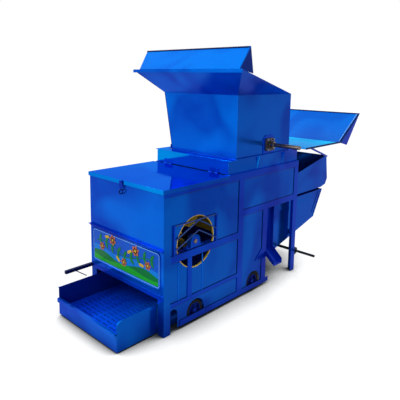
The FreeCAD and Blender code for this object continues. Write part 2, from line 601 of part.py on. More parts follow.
def build_drum():
    left, right = "(-1 * drum_left)", "drum_right"
    shaft_low, shaft_high = "(-1 * shaft_left)", "shaft_right"
    stand_face = "(hopper_half + stand_wall)"
    collar = f"({stand_face} + flange_boss + running)"
    shaft = turned("drum_shaft_bar", [
        (shaft_low, "0"), (shaft_low, "drum_bore - shaft_step"),
        (f"{shaft_low} + shaft_step", "drum_bore"), (collar, "drum_bore"),
        (collar, "collar_radius"), (f"{collar} + collar_length", "collar_radius"),
        (f"{collar} + collar_length", "drum_seat"), (f"{shaft_high} - shaft_step", "drum_seat"),
        (shaft_high, "drum_seat - shaft_step"), (shaft_high, "0")])
    axis = (0, "drum_place", "drum_level")
    sub_part("drum_shaft", place(shaft, *axis))
    discs = [place(plate(f"drum_disc_{i}", "X", start, "disc_wall",
                         circles=[("0", "0", "disc_radius"), ("0", "0", "drum_bore")]), *axis)
             for i, start in enumerate((left, f"({left} + {right} - disc_wall) / 2", f"{right} - disc_wall"))]
    bars = new_body("drum_bar_ring")
    bar = pad(bars, "X", left, f"{right} - {left}",
              rectangle("-1 * bar_half", "disc_radius - bar_sink", "bar_half", "disc_radius + bar_depth"))
    around(bars, bar, "bar_count")
    rotor = doc.addObject("Part::MultiFuse", "drum_rotor_fuse")
    rotor.Shapes = discs + [place(bars, *axis)]
    sub_part("drum_rotor", rotor)
    teeth = new_body("drum_tooth_ring")
    count = int(number("tooth_count"))
    pitch = f"({right} - {left}) / tooth_count"
    row = [(f"{left} + {pitch} * {i + 0.5}", "0", "tooth_radius") for i in range(count)]
    tooth = pad(teeth, "Z", "disc_radius + bar_depth", "tooth_tip - disc_radius - bar_depth", circles=row)
    around(teeth, tooth, "bar_count")
    sub_part("drum_teeth", place(teeth, *axis))
    inner, outer = "(-1 * throat_left + skin)", LEG_EDGE
    arcs = []
    for i, start in enumerate((inner, f"{outer} - arc_wall")):
        arc = plate(f"concave_arc_{i}", "X", start, "arc_wall",
                    circles=[("0", "0", "concave_inner + concave_depth"), ("0", "0", "concave_inner")])
        pocket(arc, "X", f"{start} - 1", "arc_wall + 2",
               rectangle("-2 * concave_inner", "-1 * leg", "2 * concave_inner", "2 * concave_inner"))
        arcs.append(place(arc, *axis))
    rods = []
    radius = "(concave_inner + concave_depth / 2)"
    for i in range(int(number("grid_count"))):
        angle = f"(({i} - (grid_count - 1) / 2) * grid_step)"
        rods.append(rod(f"grid_rod_{i}", f"{inner} + arc_wall",
                        f"drum_place + {radius} * sin({angle} * 1deg)",
                        f"drum_level - {radius} * cos({angle} * 1deg)", "grid_rod",
                        f"{outer} - {inner} - 2 * arc_wall"))
    sub_part("concave", *arcs, *rods)
    sub_part("bearing_stands", *build_drum_bearings(stand_face))


def build_drum_bearings(stand_face):
    """Flanged bearings outside upright plates that stand beside the hopper."""
    left_face = "(-1 * throat_left - stand_setback)"
    stands, bearings = [], []
    for side, low, base in (("right", "hopper_half", f"({HOUSING_TOP} + skin)"),
                            ("left", f"({left_face} - stand_wall)", HOUSING_TOP)):
        near, far = "(drum_place - stand_half)", "(drum_place + stand_half)"
        top, notch = f"({HOUSING_TOP} + stand_height)", "stand_notch"
        stand = plate(f"stand_{side}", "X", low, "stand_wall",
                      [(near, base), (far, base), (far, f"{top} - {notch}"), (f"{far} - {notch}", top),
                       (f"{near} + {notch}", top), (near, f"{top} - {notch}")])
        pocket(stand, "X", low, "stand_wall",
               circles=[("drum_place", "drum_level", "drum_bore + shaft_clear")])
        stands.append(stand)
        plate_low = stand_face if side == "right" else f"({low} - flange_plate)"
        boss_low = stand_face if side == "right" else f"({low} - flange_boss)"
        flange = plate(f"flange_{side}", "X", plate_low, "flange_plate",
                       rectangle("drum_place - flange_size", "drum_level - flange_size",
                                 "drum_place + flange_size", "drum_level + flange_size"))
        corner_rounded(flange, "X", "flange_size / 3",
                       [(f"drum_place {a} flange_size", f"drum_level {b} flange_size")
                        for a in "+-" for b in "+-"])
        pad(flange, "X", boss_low, "flange_boss", circles=[("drum_place", "drum_level", "block_radius")])
        pocket(flange, "X", boss_low, "flange_boss",
               circles=[("drum_place", "drum_level", "drum_bore + running")])
        bearings.append(flange)
    sub_part("drum_bearings", *bearings)
    return stands


def build_housing():
    """A low box around the drum's underside, with foot flanges and slanted side ribs."""
    body = plate("housing_shell", "Z", "box_height", "housing_height",
                 rectangle(f"-{WALL_OUT}", "housing_front", WALL_OUT, "housing_rear"))
    pocket(body, "Z", "box_height", "housing_height - skin",
           rectangle(f"-{WALL_OUT} + skin", "housing_front + skin",
                     f"{WALL_OUT} - skin", "housing_rear - skin"))
    pad(body, "Z", f"{HOUSING_TOP} - skin", "skin",
        rectangle(f"-{HALF}", "housing_front - skin", HALF, "housing_rear"))
    pocket(body, "Z", f"{HOUSING_TOP} - skin", "skin",
           rectangle("-1 * throat_left + skin", "hopper_front + skin",
                     "hopper_half - skin", "hopper_rear - skin"))
    for sign in ("", "-1 * "):
        wall, edge = f"{sign}{WALL_OUT}", f"{sign}{HALF}"
        pad(body, "Z", "box_height", "skin", rectangle(wall, "housing_front", edge, "housing_rear"))
        for step in (1, 2):
            middle = f"(housing_front + (housing_rear - housing_front) * {step} * rib_share)"
            pad(body, "Y", middle, "skin",
                [(wall, "box_height + skin"), (edge, f"{HOUSING_TOP} - skin"),
                 (wall, f"{HOUSING_TOP} - skin")])
    sub_part("drum_housing", body)


# Hopper: a throat that narrows on the left, flared panels, a guard and hold-down lugs

def loft(body, kind, sections):
    """A straight-sided loft between two level outlines."""
    feature = body.newObject(f"PartDesign::{kind}", f"{body.Name}_{kind}")
    sketches = [draw(new_sketch(body, "Z", level), outline) for level, outline in sections]
    feature.Profile = sketches[0]
    feature.Sections = sketches[1:]
    feature.Ruled = True
    return feature


def build_hopper():
    body = new_body("hopper_walls")
    low = rectangle("-1 * throat_left", "hopper_front", "hopper_half", "hopper_rear")
    high = rectangle("-1 * hopper_half", "hopper_front", "hopper_half", "hopper_rear")
    loft(body, "AdditiveLoft", [(HOUSING_TOP, low), (HOPPER_TOP, high)])
    low_in = rectangle("-1 * throat_left + skin", "hopper_front + skin",
                       "hopper_half - skin", "hopper_rear - skin")
    high_in = rectangle("-1 * hopper_half + skin", "hopper_front + skin",
                        "hopper_half - skin", "hopper_rear - skin")
    loft(body, "SubtractiveLoft", [(HOUSING_TOP, low_in), (HOPPER_TOP, high_in)])
    pocket(body, "X", "-1 * hopper_half", "2 * hopper_half",
           circles=[("drum_place", "drum_level", "drum_bore + shaft_clear")])
    rim_left, rim_right = "-1 * throat_left - hopper_flange", "hopper_half + hopper_flange"
    for points in (rectangle(rim_left, "hopper_front - hopper_flange", rim_right, "hopper_front"),
                   rectangle(rim_left, "hopper_rear", rim_right, "hopper_rear + hopper_flange"),
                   rectangle(rim_left, "hopper_front", "-1 * throat_left", "hopper_rear"),
                   rectangle("hopper_half", "hopper_front", rim_right, "hopper_rear")):
        pad(body, "Z", HOUSING_TOP, "skin", points)
    sub_part("hopper_body", body)
    fold_l = ("-1 * hopper_half", "hopper_front", HOPPER_TOP)
    fold_r = ("hopper_half", "hopper_front", HOPPER_TOP)
    tip_l, tip_r = ("-1 * flare_half", FLARE_EDGE, FLARE_TOP), ("flare_half", FLARE_EDGE, FLARE_TOP)
    rear_l = ("-1 * hopper_half", "hopper_rear", HOPPER_TOP)
    rear_r = ("hopper_half", "hopper_rear", HOPPER_TOP)
    rim_bar = block("flare_rim",
                    "-1 * flare_half - skin", f"{FLARE_EDGE} - skin", f"{FLARE_TOP} - rim_height",
                    "2 * flare_half + 2 * skin", "skin", "rim_height")
    sub_part("hopper_flare", sheet_panel("flare_front", [fold_l, fold_r, tip_r, tip_l]),
             sheet_panel("flare_right", [fold_r, rear_r, tip_r]),
             sheet_panel("flare_left", [fold_l, tip_l, rear_l]), rim_bar)
    top_y, top_z = f"({FLARE_EDGE} + guard_lean)", f"({FLARE_TOP} + guard_rise)"
    foot_y, foot_z = f"({FLARE_EDGE} + guard_foot)", f"({FLARE_TOP} - guard_foot_drop)"
    low_l, low_r = ("-1 * guard_low_left", FLARE_EDGE, FLARE_TOP), ("guard_low_right", FLARE_EDGE, FLARE_TOP)
    high_l, high_r = ("-1 * guard_half", top_y, top_z), ("guard_half", top_y, top_z)
    sub_part("hopper_guard", sheet_panel("guard_panel", [low_l, low_r, high_r, high_l]),
             sheet_panel("guard_cheek_right", [low_r, ("guard_low_right", foot_y, foot_z), high_r]),
             sheet_panel("guard_cheek_left", [low_l, high_l, ("-1 * guard_low_left", foot_y, foot_z)]))
    inner, outer, raised = "(-1 * throat_left - hopper_flange)", f"-{HALF}", f"({HOUSING_TOP} + skin)"
    lugs = [plate(f"lug_{i}", "Y", edge, "lug_width",
                  [(inner, HOUSING_TOP), (inner, raised), (f"{outer} + skin", raised),
                   (f"{outer} + skin", f"{HOUSING_TOP} + lug_height"), (outer, f"{HOUSING_TOP} + lug_height"),
                   (outer, HOUSING_TOP)])
            for i, edge in enumerate(("lug_place", "hopper_rear + hopper_front - lug_place"))]
    sub_part("hopper_lugs", *lugs)


# Shaking shoe: side plates, bent floor, inclined back, sieve and the front tray's lip

def floor_level(along):
    return f"(tray_level + ({along} - floor_bend) * {SLOPE})"


def shoe_side(name, corner):
    """A side plate of the shoe with its two pivot pins; its front top corner is rounded."""
    front = "(-1 * tray_front)"
    side = plate(f"shoe_plate_{name}", "X", SHOE_IN, "skin",
                 [(front, "tray_level"), ("floor_bend", "tray_level"), ("shoe_tail", "tail_level"),
                  ("shoe_rear", "shoe_top"), ("shoe_step", "shoe_top"), ("tray_wall_end", TRAY_TOP),
                  (front, TRAY_TOP)])
    corner_rounded(side, "X", corner, [(front, TRAY_TOP)])
    for pivot in (("rocker_place", "rocker_low + rocker_length"),
                  ("hanger_place", "hanger_high - rocker_length")):
        pad(side, "X", "shoe_half", "rocker_gap + rocker_wall", circles=[(*pivot, "pivot_pin")])
    return side


def build_shoe():
    front = "(-1 * tray_front)"
    sub_part("shoe_side_right", shoe_side("right", "tray_corner"))
    sub_part("shoe_side_left", mirrored(shoe_side("left", "tray_left_corner")))
    floor = plate("shoe_floor_sheet", "X", f"-{SHOE_IN}", f"2 * {SHOE_IN}",
                  [(f"{front} + skin", "tray_level"), ("floor_bend", "tray_level"),
                   ("shoe_tail", "tail_level"),
                   ("shoe_tail", "tail_level + skin"), ("floor_bend", "tray_level + skin"),
                   (f"{front} + skin", "tray_level + skin")])
    for centre in ("rod_place", "(-1 * rod_place)"):
        for low in (f"{centre} - rod_wall / 2 - ear_gap - ear_wall", f"{centre} + rod_wall / 2 + ear_gap"):
            pad(floor, "X", low, "ear_wall",
                [("small_end - ear_half", "small_end_level - pivot_pin * 2"),
                 ("small_end + ear_half", "small_end_level - pivot_pin * 2"),
                 ("small_end + ear_half", f"{floor_level('(small_end + ear_half)')} + 1"),
                 ("small_end - ear_half", f"{floor_level('(small_end - ear_half)')} + 1")])
        pad(floor, "X", f"{centre} - rod_wall / 2 - ear_gap - 1", "rod_wall + 2 * ear_gap + 2",
            circles=[("small_end", "small_end_level", "pivot_pin")])
    sub_part("shoe_floor", floor)
    back = plate("shoe_back_sheet", "X", f"-{SHOE_IN}", f"2 * {SHOE_IN}",
                 [("shoe_tail", "tail_level"), ("shoe_rear", "shoe_top"), ("shoe_rear - skin", "shoe_top"),
                  ("shoe_tail - skin", "tail_level + skin"), ("shoe_tail", "tail_level + skin")])
    run = "((shoe_rear - shoe_tail) / (shoe_top - tail_level))"
    ribs = []
    for i, setback in enumerate(("stiffener", "3 * stiffener")):
        low, high = f"(tail_level + {i + 1} * stiffener)", "shoe_top"
        y_low, y_high = (f"(shoe_tail + ({level} - tail_level) * {run} - {setback})" for level in (low, high))
        ribs.append(plate(f"shoe_rib_{i}", "X", "shoe_half", "stiffener_wall",
                          [(y_low, low), (f"{y_low} + stiffener_wall * 2", low),
                           (f"{y_high} + stiffener_wall * 2", high), (y_high, high)]))
    sub_part("shoe_back", back, *both(*ribs))
    lip = plate("lip_sheet", "X", f"-{SHOE_IN}", f"2 * {SHOE_IN}",
                [(front, "tray_level"), (f"{front} + skin", "tray_level"), (f"{front} + skin", "lip_level"),
                 (f"{front} - lip_reach", "lip_level"), (f"{front} - lip_reach", "lip_level - lip_height"),
                 (f"{front} - lip_reach + skin", "lip_level - lip_height"),
                 (f"{front} - lip_reach + skin", "lip_level - skin"), (front, "lip_level - skin")])
    sub_part("tray_front", lip)
    build_sieve(front)


def build_sieve(front):
    """The slotted sieve plate that lies above the tray's floor, on two runners."""
    level = "(tray_level + sieve_height)"
    half = f"({SHOE_IN} - sieve_clear)"
    start = f"({front} + skin + sieve_clear)"
    body = plate("sieve_sheet", "Z", level, "skin", rectangle(f"-{half}", start, half, "floor_bend"))
    first = new_sketch(body, "Z", f"{level} - 1")
    pitch = f"((2 * {half} - 2 * slot_margin - slot_length) / (slot_columns - 1))"
    for column in range(int(number("slot_columns"))):
        low, near = f"(-{half} + slot_margin + {pitch} * {column})", f"({front} + slot_margin)"
        draw(first, rectangle(low, near, f"{low} + slot_length", f"{near} + slot_width"))
    cut = body.newObject("PartDesign::Pocket", "slot_row")
    cut.Profile = first
    cut.Reversed = True
    bind(cut, Length="skin + 2")
    rows = body.newObject("PartDesign::LinearPattern", "slot_rows_pattern")
    rows.Originals = [cut]
    axis = next(f for f in body.Origin.OriginFeatures if f.Role == "Y_Axis")
    rows.Direction = (axis, [""])
    bind(rows, Length="tray_front + floor_bend - 2 * slot_margin - slot_width", Occurrences="slot_rows")
    body.Tip = rows
    for low in (f"-{half}", f"{half} - skin * 4"):
        pad(body, "Z", "tray_level + skin", "sieve_height - skin",
            rectangle(low, start, f"{low} + skin * 4", "floor_bend"))
    sub_part("sieve_plate", body)


# Rockers, hangers and the eccentric drive

def link(name, start, ends):
    """A flat link with two eyes; ends are (y, z, bore)."""
    (y0, z0, bore0), (y1, z1, bore1) = ends
    body = plate(name, "X", start, "rocker_wall",
                 [(f"{y0} - rocker_half", z0), (f"{y0} + rocker_half", z0), (f"{y1} + rocker_half", z1),
                  (f"{y1} - rocker_half", z1)])
    for y, z, bore in ends:
        pad(body, "X", start, "rocker_wall", circles=[(y, z, f"{bore} + eye_wall")])
    for y, z, bore in ends:
        pocket(body, "X", f"{start} - 1", "rocker_wall + 2", circles=[(y, z, bore)])
    return body


def build_rockers():
    fixed, loose = "(pivot_pin + running)", "(pivot_pin + pivot_clear)"
    high, low = "(rocker_low + rocker_length)", "(hanger_high - rocker_length)"
    rocker = link("rocker", ROCKER_IN, [("rocker_place", "rocker_low", fixed), ("rocker_place", high, loose)])
    hanger = link("hanger", ROCKER_IN, [("hanger_place", "hanger_high", fixed), ("hanger_place", low, loose)])
    sub_part("rockers", *both(rocker))
    sub_part("hangers", *both(hanger))
    pin_length = f"{BRACKET_IN} - {ROCKER_IN} + bracket_wall"
    rear = plate("rocker_arm", "X", BRACKET_IN, "bracket_wall",
                 [("rear_post + leg", "rocker_low - leg / 2"),
                  ("rocker_place + eye_wall * 2", "rocker_low - eye_wall"),
                  ("rocker_place + eye_wall * 2", "rocker_low + eye_wall"),
                  ("rear_post + leg", "rocker_low + leg / 2")])
    pad(rear, "X", ROCKER_IN, pin_length, circles=[("rocker_place", "rocker_low", "pivot_pin")])
    front = plate("hanger_arm", "X", BRACKET_IN, "bracket_wall",
                  [("angle_wall", "hanger_high - leg / 2"),
                   ("hanger_place + eye_wall * 2", "hanger_high - eye_wall"),
                   ("hanger_place + eye_wall * 2", "hanger_high + eye_wall"),
                   ("angle_wall", "hanger_high + leg / 2")])
    pad(front, "X", ROCKER_IN, pin_length, circles=[("hanger_place", "hanger_high", "pivot_pin")])
    sub_part("rocker_brackets", *both(rear, front))


def build_drive():
    low, high = "(-1 * crank_left)", "crank_right"
    shoulder = f"({BLOCK_MID} + block_width / 2 + shaft_step)"
    shaft = turned("crank_bar", [
        (low, "0"), (low, "crank_radius"), (shoulder, "crank_radius"), (shoulder, "crank_seat"),
        (f"{high} - shaft_step", "crank_seat"), (high, "crank_seat - shaft_step"), (high, "0")])
    for centre in ("rod_place", "(-1 * rod_place)"):
        pad(shaft, "X", f"{centre} - crank_disc_wall / 2", "crank_disc_wall",
            circles=[("0", "throw", "disc_outer")])
    sub_part("eccentric_shaft", place(shaft, 0, CRANK_PLACE, "crank_level"))
    upright = pillow_block("crank_block", "crank_radius", "crank_offset",
                           "crank_block_radius", "crank_block_base")
    turned_block = doc.addObject("Part::Compound", "crank_block_turned")
    turned_block.Links = [upright]
    turned_block.Placement.Rotation = FreeCAD.Rotation(FreeCAD.Vector(1, 0, 0), -90)
    sub_part("crank_bearings", *both(place(turned_block, BLOCK_MID, CRANK_PLACE, "crank_level")))
    rods = []
    centre_z = "(crank_level + throw)"
    for i, middle in enumerate(("rod_place", "(-1 * rod_place)")):
        start = f"({middle} - rod_wall / 2)"
        body = plate(f"con_rod_{i}", "X", start, "rod_wall",
                     [("small_end", "small_end_level - rod_half"), (CRANK_PLACE, f"{centre_z} - rod_half"),
                      (CRANK_PLACE, f"{centre_z} + rod_half"), ("small_end", "small_end_level + rod_half")])
        eye = "(pivot_pin + sqrt(5) * throw + 2 * pivot_clear)"
        pad(body, "X", start, "rod_wall", circles=[(CRANK_PLACE, centre_z, "disc_outer + strap_wall")])
        pad(body, "X", start, "rod_wall", circles=[("small_end", "small_end_level", f"{eye} + eye_wall")])
        pocket(body, "X", f"{start} - 1", "rod_wall + 2",
               circles=[(CRANK_PLACE, centre_z, "disc_outer + running")])
        pocket(body, "X", f"{start} - 1", "rod_wall + 2", circles=[("small_end", "small_end_level", eye)])
        rods.append(body)
    sub_part("con_rods", *rods)


# Outlets, tail box and table at the rear

def build_rear():
    knee, foot = ("chute_back", "chute_knee"), ("chute_reach", "chute_end")
    sheet_body = plate("chute_sheet", "Y", CHUTE_FRONT, "chute_width",
                       [("chute_back", "rear_rib"), knee, foot, ("chute_reach", "chute_end + chute_lip"),
                        ("chute_back + skin", "chute_knee + chute_lip"), ("chute_back + skin", "rear_rib")])
    for start in (CHUTE_FRONT, f"{CHUTE_FRONT} + chute_width - skin"):
        pad(sheet_body, "Y", start, "skin",
            [("chute_back", "rear_rib"), knee, foot, ("chute_reach", "chute_end + chute_cheek"),
             ("chute_back + chute_cheek", "chute_knee + chute_cheek / 2"),
             ("chute_back + chute_cheek", "rear_rib")])
    sub_part("side_chute", sheet_body)
    wall_in = f"({LEG_EDGE} - skin)"
    front = "(rear_post + leg - angle_wall)"
    side = [(front, "tail_bottom"), ("tail_heel", "tail_bottom"),
            ("tail_rear - tail_setback + skin", "tail_bottom + skin * 6"), ("tail_rear", "tail_knee"),
            ("tail_rear - tail_setback", "tail_top"), (front, "tail_top - tail_slope")]
    body = plate("tail_wall", "X", wall_in, "skin", side)
    pad(body, "X", f"-{LEG_EDGE}", "skin", side)
    pad(body, "X", f"-{LEG_EDGE}", f"2 * {LEG_EDGE}",
        [side[1], side[2], side[3], side[4], ("tail_rear - tail_setback - skin", "tail_top"),
         ("tail_rear - skin", "tail_knee"), ("tail_rear - tail_setback", "tail_bottom + skin * 7"),
         ("tail_heel", "tail_bottom + skin")])
    sub_part("tail_box", body)
    start, top, fold = "(housing_rear - table_lap)", HOUSING_TOP, f"({HOUSING_TOP} + skin)"
    table = plate("table_sheet", "X", "-1 * table_half", "2 * table_half",
                  [(start, top), ("table_fold", top), ("table_rear", "table_top"),
                   ("table_rear - skin", "table_top + skin"), ("table_fold - skin / 2", fold), (start, fold)])
    sub_part("feed_table", table)
    cheek = plate("table_cheek", "X", "table_half - 2 * skin", "skin",
                  [("table_fold", top), ("table_rear", "table_top"), ("gusset_foot", "gusset_level")])
    rib = block("table_rib_bar", "table_rib_place", "housing_rear", f"{top} - table_rib", "angle_wall",
                "table_fold - housing_rear", "table_rib")
    stay = table_stay(("table_half - leg", "stay_top", f"{top} - stay_radius"),
                      (f"{LEG_EDGE} + stay_radius",
                       "tail_rear - tail_setback - 4 * skin", "tail_top - 2 * skin"))
    sub_part("table_supports", *both(cheek, rib, stay))


def table_stay(top, foot):
    """A round stay from under the table down to the tail box's corner."""
    upper, lower = (FreeCAD.Vector(*(number(f) for f in end)) for end in (top, foot))
    run = lower - upper
    bar = doc.addObject("Part::Feature", "table_stay_bar")
    bar.Shape = Part.makeCylinder(number("stay_radius"), run.Length, upper, run)
    return bar


# Road wheels on stub axles, and the tray's stay bar

def build_wheels():
    corners = [(f"{end}_{side}", f"{end}_axle", side == "left")
               for end in ("front", "rear") for side in ("right", "left")]
    rim = "(wheel_radius - tyre_depth)"
    well = f"({rim} - tread_shoulder)"
    for name, axle, hand in corners:
        tyre = turned(f"tyre_profile_{name}", [
            ("0", rim), ("0", "wheel_radius - tread_shoulder"), ("tread_corner", "wheel_radius"),
            ("wheel_width - tread_corner", "wheel_radius"), ("wheel_width", "wheel_radius - tread_shoulder"),
            ("wheel_width", rim)])
        hub = turned(f"hub_profile_{name}", [
            ("0", "axle_radius + running"), ("0", "wheel_hub"),
            ("wheel_width / 2 - web_wall / 2", "wheel_hub"),
            ("wheel_width / 2 - web_wall / 2", well), ("rim_edge", well), ("rim_edge", rim),
            ("wheel_width - rim_edge", rim), ("wheel_width - rim_edge", well),
            ("wheel_width / 2 + web_wall / 2", well), ("wheel_width / 2 + web_wall / 2", "wheel_hub"),
            ("wheel_width", "wheel_hub"), ("wheel_width", "axle_radius + running")])
        window = pocket(hub, "X", "0", "wheel_width",
                        circles=[("0", f"(wheel_hub + {well}) / 2", "window_radius")])
        around(hub, window, "window_count")
        for body, label in ((tyre, f"tyre_{name}"), (hub, f"hub_{name}")):
            place(body, "wheel_inner", axle, "wheel_radius")
            sub_part(label, mirrored(body) if hand else body)
    arms = []
    for name, axle in (("front", "front_axle"), ("rear", "rear_axle")):
        body = plate(f"wheel_arm_{name}", "X", LEG_EDGE, "angle_wall",
                     [(f"{axle} - arm_width", "low_rail"),
                      (f"{axle} - arm_width / 2", "wheel_radius - arm_width / 2"),
                      (f"{axle} + arm_width / 2", "wheel_radius - arm_width / 2"),
                      (f"{axle} + arm_width", "low_rail")])
        pad(body, "X", LEG_EDGE, f"wheel_inner + wheel_width - {LEG_EDGE} + 2",
            circles=[(axle, "wheel_radius", "axle_radius")])
        arms.append(body)
    tie = block("wheel_tie", LEG_EDGE, "mid_post + leg", "low_rail", f"{SKIN_IN} - {LEG_EDGE}",
                "third_post - mid_post - leg", "angle_wall")
    sub_part("wheel_brackets", *both(*arms, tie))


def build_stay():
    bar = block("stay_tube", f"-{HALF}", "-1 * stay_reach", "stay_level",
                "stay_bar", "stay_reach - angle_wall", "stay_bar")
    high = (f"-{HALF} + stay_bar", "-1 * hook_high * stay_reach", "stay_level + stay_bar / 2")
    low = ("-1 * shoe_half - leg / 4", "-1 * hook_low * stay_reach", f"{TRAY_TOP} + skin * 2")
    top = FreeCAD.Vector(*(number(formula) for formula in high))
    foot = FreeCAD.Vector(*(number(formula) for formula in low))
    hook = doc.addObject("Part::Feature", "stay_hook")
    hook.Shape = Part.makeCylinder(number("stay_wire"), (foot - top).Length, top, foot - top)
    sub_part("tray_stay", bar, hook)


build_frame()
build_cladding()
build_lid()
build_fan()
build_drum()
build_housing()
build_hopper()
build_shoe()
build_rockers()
build_drive()
build_rear()
build_wheels()
build_stay()
doc.recompute()

for thing in doc.Objects:
    if "Invalid" in thing.State or "Error" in thing.State:
        raise RuntimeError(f"{thing.Name} failed: {thing.State}")
for part in PARTS:
    if part.Shape.isNull() or not part.Shape.isValid():
        raise RuntimeError(f"{part.Label} has no valid shape")

os.makedirs("parts", exist_ok=True)
for part in PARTS:
    part.Shape.exportStep(f"parts/{part.Label}.step")
print(len(PARTS), "sub-parts written")
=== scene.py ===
import json
import math

import bmesh
import bpy
from bpy.props import FloatProperty, FloatVectorProperty, IntProperty, PointerProperty
from mathutils import Matrix, Vector


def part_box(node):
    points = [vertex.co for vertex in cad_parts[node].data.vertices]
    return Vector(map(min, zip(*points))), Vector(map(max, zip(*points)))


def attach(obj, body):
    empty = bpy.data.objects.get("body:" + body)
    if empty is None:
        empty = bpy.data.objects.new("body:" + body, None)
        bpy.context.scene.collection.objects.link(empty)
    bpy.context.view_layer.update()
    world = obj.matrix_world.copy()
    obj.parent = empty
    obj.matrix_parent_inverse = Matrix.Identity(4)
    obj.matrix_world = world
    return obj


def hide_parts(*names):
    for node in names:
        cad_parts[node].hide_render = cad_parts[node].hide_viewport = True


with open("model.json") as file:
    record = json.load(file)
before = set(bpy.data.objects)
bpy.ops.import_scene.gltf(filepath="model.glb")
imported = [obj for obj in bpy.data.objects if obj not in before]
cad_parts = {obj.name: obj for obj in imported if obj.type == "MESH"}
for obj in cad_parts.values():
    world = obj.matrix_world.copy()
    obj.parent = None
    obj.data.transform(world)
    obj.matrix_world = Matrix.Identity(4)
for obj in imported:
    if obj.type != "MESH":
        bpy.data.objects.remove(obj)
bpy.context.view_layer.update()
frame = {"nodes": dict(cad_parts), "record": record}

bl_info = {
    "name": "Peanut thresher looks",
    "version": (1, 0, 0),
    "blender": (4, 5, 0),
    "location": "View3D > Sidebar > Thresher",
    "description": "Dresses the thresher's frame: painted sheet metal, welds, bolts, guards and tyres",
    "category": "Object",
}

MM = 0.001
SIDES = {"right": 1, "left": -1}

# Where each sub-part takes its finish from: the paint or metal of every node that is dressed as it stands.
FINISHES = {
    "blue": ("front_panel", "hopper_body", "hopper_flare", "hopper_lugs", "tray_front"),
    # Painted shade: a darker copy of the blue for the side sheets, posts, rear panels, tail box and tray sides
    "painted_shade_blue": ("front_posts", "side_panel_right", "side_panel_left", "rear_panels", "tail_box",
              "shoe_side_right", "shoe_side_left", "shoe_back"),
    "shade": ("shoe_floor",),
    "royal": ("inner_posts", "rear_posts", "top_rails", "side_rails", "cross_rails", "inlet_struts",
              "lid_fittings", "lid_hinges", "bearing_stands", "rocker_brackets", "side_chute",
              "table_supports", "wheel_brackets", "fan_bearings"),
    "hub": ("hub_front_right", "hub_front_left", "hub_rear_right", "hub_rear_left"),
    # The lid and the drum housing: real gloss, with a lighter cyan base colour as a painted reflection of the sky
    "mirror": ("lid", "drum_housing"),
    "deep": ("sieve_plate",),
    "sky": ("hopper_guard", "feed_table"),
    "ochre": ("inlet_rings",),
    # Painted light: a brighter copy of the ochre for the fan's spiders and blades
    "painted_light_ochre": ("fan_spiders", "fan_blades"),
    # Painted shade: a darker copy of the ochre for the fan scroll
    "painted_shade_ochre": ("fan_scroll",),
    "black": ("rockers", "hangers", "crank_bearings", "con_rods"),
    "steel": ("drum_rotor", "drum_teeth", "concave", "fan_shaft"),
    "navy": ("hasp_staple", "tray_stay"),
    "iron": ("drum_bearings",),
}
# The record's material slot of every finish.
SLOTS = {
    **dict.fromkeys(("blue", "painted_shade_blue", "shade", "royal", "hub", "navy", "mirror", "deep", "rod"), "blue_paint"),
    **dict.fromkeys(("ochre", "painted_light_ochre", "painted_shade_ochre"), "ochre_paint"),
    "sky": "sky_paint", "black": "black_paint", "steel": "bare_steel", "zinc": "zinc_steel",
    "iron": "bearing_iron", "rubber": "tyre_rubber",
}
# Nodes where the faces that look some way take a finish of their own, which is painted light: a darker copy of the
# paint on sideways faces as painted shade, and a light cyan on the table's upward faces as painted sheen. Columns:
# the finish, the ways, and how squarely.
RIGHT, LEFT, UP = Vector((1, 0, 0)), Vector((-1, 0, 0)), Vector((0, 0, 1))
ROUGHLY, SQUARELY = 0.5, 0.95
FACING = {
    **dict.fromkeys(("drum_housing", "lid", "hopper_body", "hopper_flare"), ("painted_shade_blue", (LEFT, RIGHT), ROUGHLY)),
    "hopper_guard": ("shade", (LEFT, RIGHT), ROUGHLY),
    "shoe_side_left": ("shade", (RIGHT,), ROUGHLY),
    "feed_table": ("painted_sheen", (UP,), SQUARELY),
}
# The sky that the paint mirrors: colours from the horizon up.
SKY_STOPS = (
    (0.0, (0.02, 0.04, 0.09)), (0.1, (0.05, 0.14, 0.32)),
    (0.4, (0.22, 0.5, 0.85)), (1.0, (0.5, 0.8, 1.0)),
)
# Soft lamps: place, aim, size, power in watts and tint.
LAMPS = {
    "front_left": ((-3.2, -5.0, 4.2), (0, -0.6, 0.7), 3.0, 270, (1.0, 0.98, 0.95)),
    "over": ((0.5, -1.5, 5.5), (0, 0, 0.9), 4.0, 80, (0.9, 0.96, 1.0)),
    "right_fill": ((3.8, -4.2, 1.0), (0.3, -0.8, 0.6), 2.0, 55, (0.95, 0.98, 1.0)),
}
# Every finish that has been made, by its short name.
made = {}


def millimetres(name, description, value):
    """A length among the settings."""
    return FloatProperty(name=name, description=description, default=value * MM, unit="LENGTH")


def swatch(name, description, value):
    """A colour among the settings."""
    return FloatVectorProperty(name=name, description=description, default=value, subtype="COLOR")


